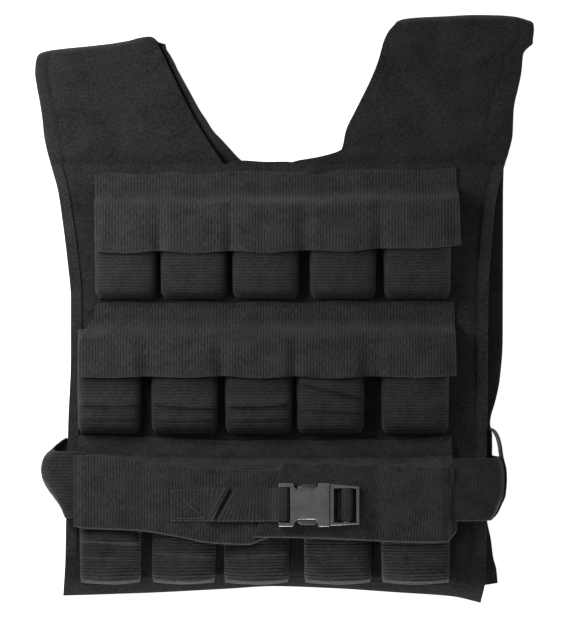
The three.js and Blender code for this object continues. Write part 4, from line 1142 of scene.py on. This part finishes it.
def buildBuckle():
    for node, name in (("buckle_female", "buckleFemale"), ("buckle_male", "buckleMale")):
        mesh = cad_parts[node].data.copy()
        mesh.name = name
        shape = bmesh.new()
        shape.from_mesh(mesh)
        bmesh.ops.remove_doubles(shape, verts=shape.verts, dist=1e-5)
        bmesh.ops.dissolve_limit(shape, angle_limit=math.radians(2), verts=shape.verts, edges=shape.edges)
        if node == "buckle_male":
            addPadRidges(shape)
        shape.to_mesh(mesh)
        shape.free()
        piece = newObject(name, mesh)
        bevel = piece.modifiers.new("rounding", "BEVEL")
        bevel.width = rounding["width"]
        bevel.segments = 2
        bevel.limit_method = "ANGLE"
        bevel.angle_limit = math.radians(rounding["from"])
        graph = bpy.context.evaluated_depsgraph_get()
        rounded = bpy.data.meshes.new_from_object(piece.evaluated_get(graph), depsgraph=graph)
        piece.modifiers.clear()
        piece.data = rounded
        piece.data.shade_smooth()
        piece.data.set_sharp_from_angle(angle=math.radians(rounding["sharp"]))
        dress(piece, acetal, "buckle", node)
    print("buckle made")


# All stitches of one kind become one mesh.
# Each kind has its piece, thread and slot, and the stitches' step, length and width in metres.
def buildStitches():
    kinds = {
        "canvas": ("stitchesCanvas", polyesterThread, "canvas", 0.0036, 0.0029, 0.0008),
        "webbing": ("stitchesWebbing", polyesterThread, "webbing", 0.0034, 0.0027, 0.0008),
        "strap": ("stitchesStrap", paleThread, "strap", 0.0027, 0.0021, 0.0008),
    }
    for kind, (name, thread, slot, step, length, width) in kinds.items():
        points, edges = [], []
        for line in seams[kind]:
            first = len(points)
            points.extend((line * mm).tolist())
            edges.extend([(first + k, first + k + 1) for k in range(len(line) - 1)])
        mesh = bpy.data.meshes.new(name)
        mesh.from_pydata(points, edges, [])
        piece = newObject(name, mesh)
        settleNodes(piece, stitchTree, {"stitch step": step, "stitch length": length, "thread width": width,
                                        "material": thread})
        dress(piece, thread, slot)
        print(name, len(piece.data.polygons), "faces")


buildBackPanel()
buildFrontPanel()
buildBindings()
print("panels made")
buildStrap("shoulderStrapLeft", "shoulder_strap_left", leftStrap)
buildStrap("shoulderStrapRight", "shoulder_strap_right", rightStrap)
for pocketRow in (1, 2, 3):
    for pocketColumn in (1, 2, 3, 4, 5):
        buildPocket(pocketRow, pocketColumn)
print("pockets made")
for flapRow in (1, 2, 3):
    buildFlap(flapRow)
buildBeltBack()
for beltSide in ("left", "right"):
    buildWing(beltSide)
    buildTurn(beltSide)
buildKeeper()
buildBuckle()
buildNarrowStraps()
buildStitches()
for name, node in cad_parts.items():
    if name.startswith("weight_"):
        node.data.materials.clear()
        node.data.materials.append(castIron)

# Studio: a white sheet that glows a little so that it takes no shadow, a key light at the upper left, a
# low one at the hem, a weak one at the right, and an even white sky. Lengths are metres, powers watts.
studio = {"floor": 8.0, "floorLevel": -0.0002, "height": 5.0, "sky": 0.27, "floorGlow": 0.8}
lights = {
    "keyLight": {"place": (-0.5, 0.26, 0.46), "target": (0, 0, 0), "size": 0.44, "power": 5.0},
    "hemLight": {"place": (-0.08, -1.2, 0.075), "target": (0, -0.2, 0.02), "size": 0.25, "power": 19.0},
    "sideLight": {"place": (0.9, 0.25, 0.34), "target": (0.1, 0, 0.02), "size": 0.4, "power": 1.7},
}
floorMesh = bpy.data.meshes.new("paperFloor")
reach = studio["floor"] / 2
floorCorners = [(x * reach, y * reach, studio["floorLevel"]) for x, y in ((-1, -1), (1, -1), (1, 1), (-1, 1))]
floorMesh.from_pydata(floorCorners, [], [(0, 1, 2, 3)])
paperFloor = newObject("paperFloor", floorMesh)
paper, _, paperShader = newMaterial("mattPaper")
for name, value in (("Base Color", linear("#f0f0f0")), ("Roughness", 0.9),
                    ("Emission Color", linear("#ffffff")), ("Emission Strength", studio["floorGlow"])):
    paperShader.inputs[name].default_value = value
floorMesh.materials.append(paper)

for name, values in lights.items():
    light = bpy.data.lights.new(name, "AREA")
    light.shape = "DISK"
    light.size = values["size"]
    light.energy = values["power"]
    lamp = newObject(name, light)
    lamp.location = values["place"]
    direction = np.array(values["target"], float) - np.array(values["place"], float)
    yaw = math.atan2(direction[1], direction[0])
    pitch = math.atan2(math.hypot(direction[0], direction[1]), -direction[2])
    lamp.rotation_euler = (pitch, 0, yaw - math.pi / 2)
world = bpy.data.worlds.new("paleRoom")
bpy.context.scene.world = world
world.use_nodes = True
world.node_tree.nodes["Background"].inputs["Color"].default_value = (1, 1, 1, 1)
world.node_tree.nodes["Background"].inputs["Strength"].default_value = studio["sky"]
bpy.context.scene.view_settings.view_transform = "Standard"

cameraData = bpy.data.cameras.new("camera")
cameraData.sensor_fit = "HORIZONTAL"
cameraData.sensor_width = 36
frameWidth = photoSize[0] * photoScale * mm
cameraData.lens = cameraData.sensor_width * (studio["height"] - 0.03) / frameWidth
cameraData.clip_end = 20
camera = newObject("camera", cameraData)
centreX, centreY = fromPhoto(photoSize[0] / 2, photoSize[1] / 2)
camera.location = (float(centreX) * mm, float(centreY) * mm, studio["height"])
bpy.context.scene.camera = camera
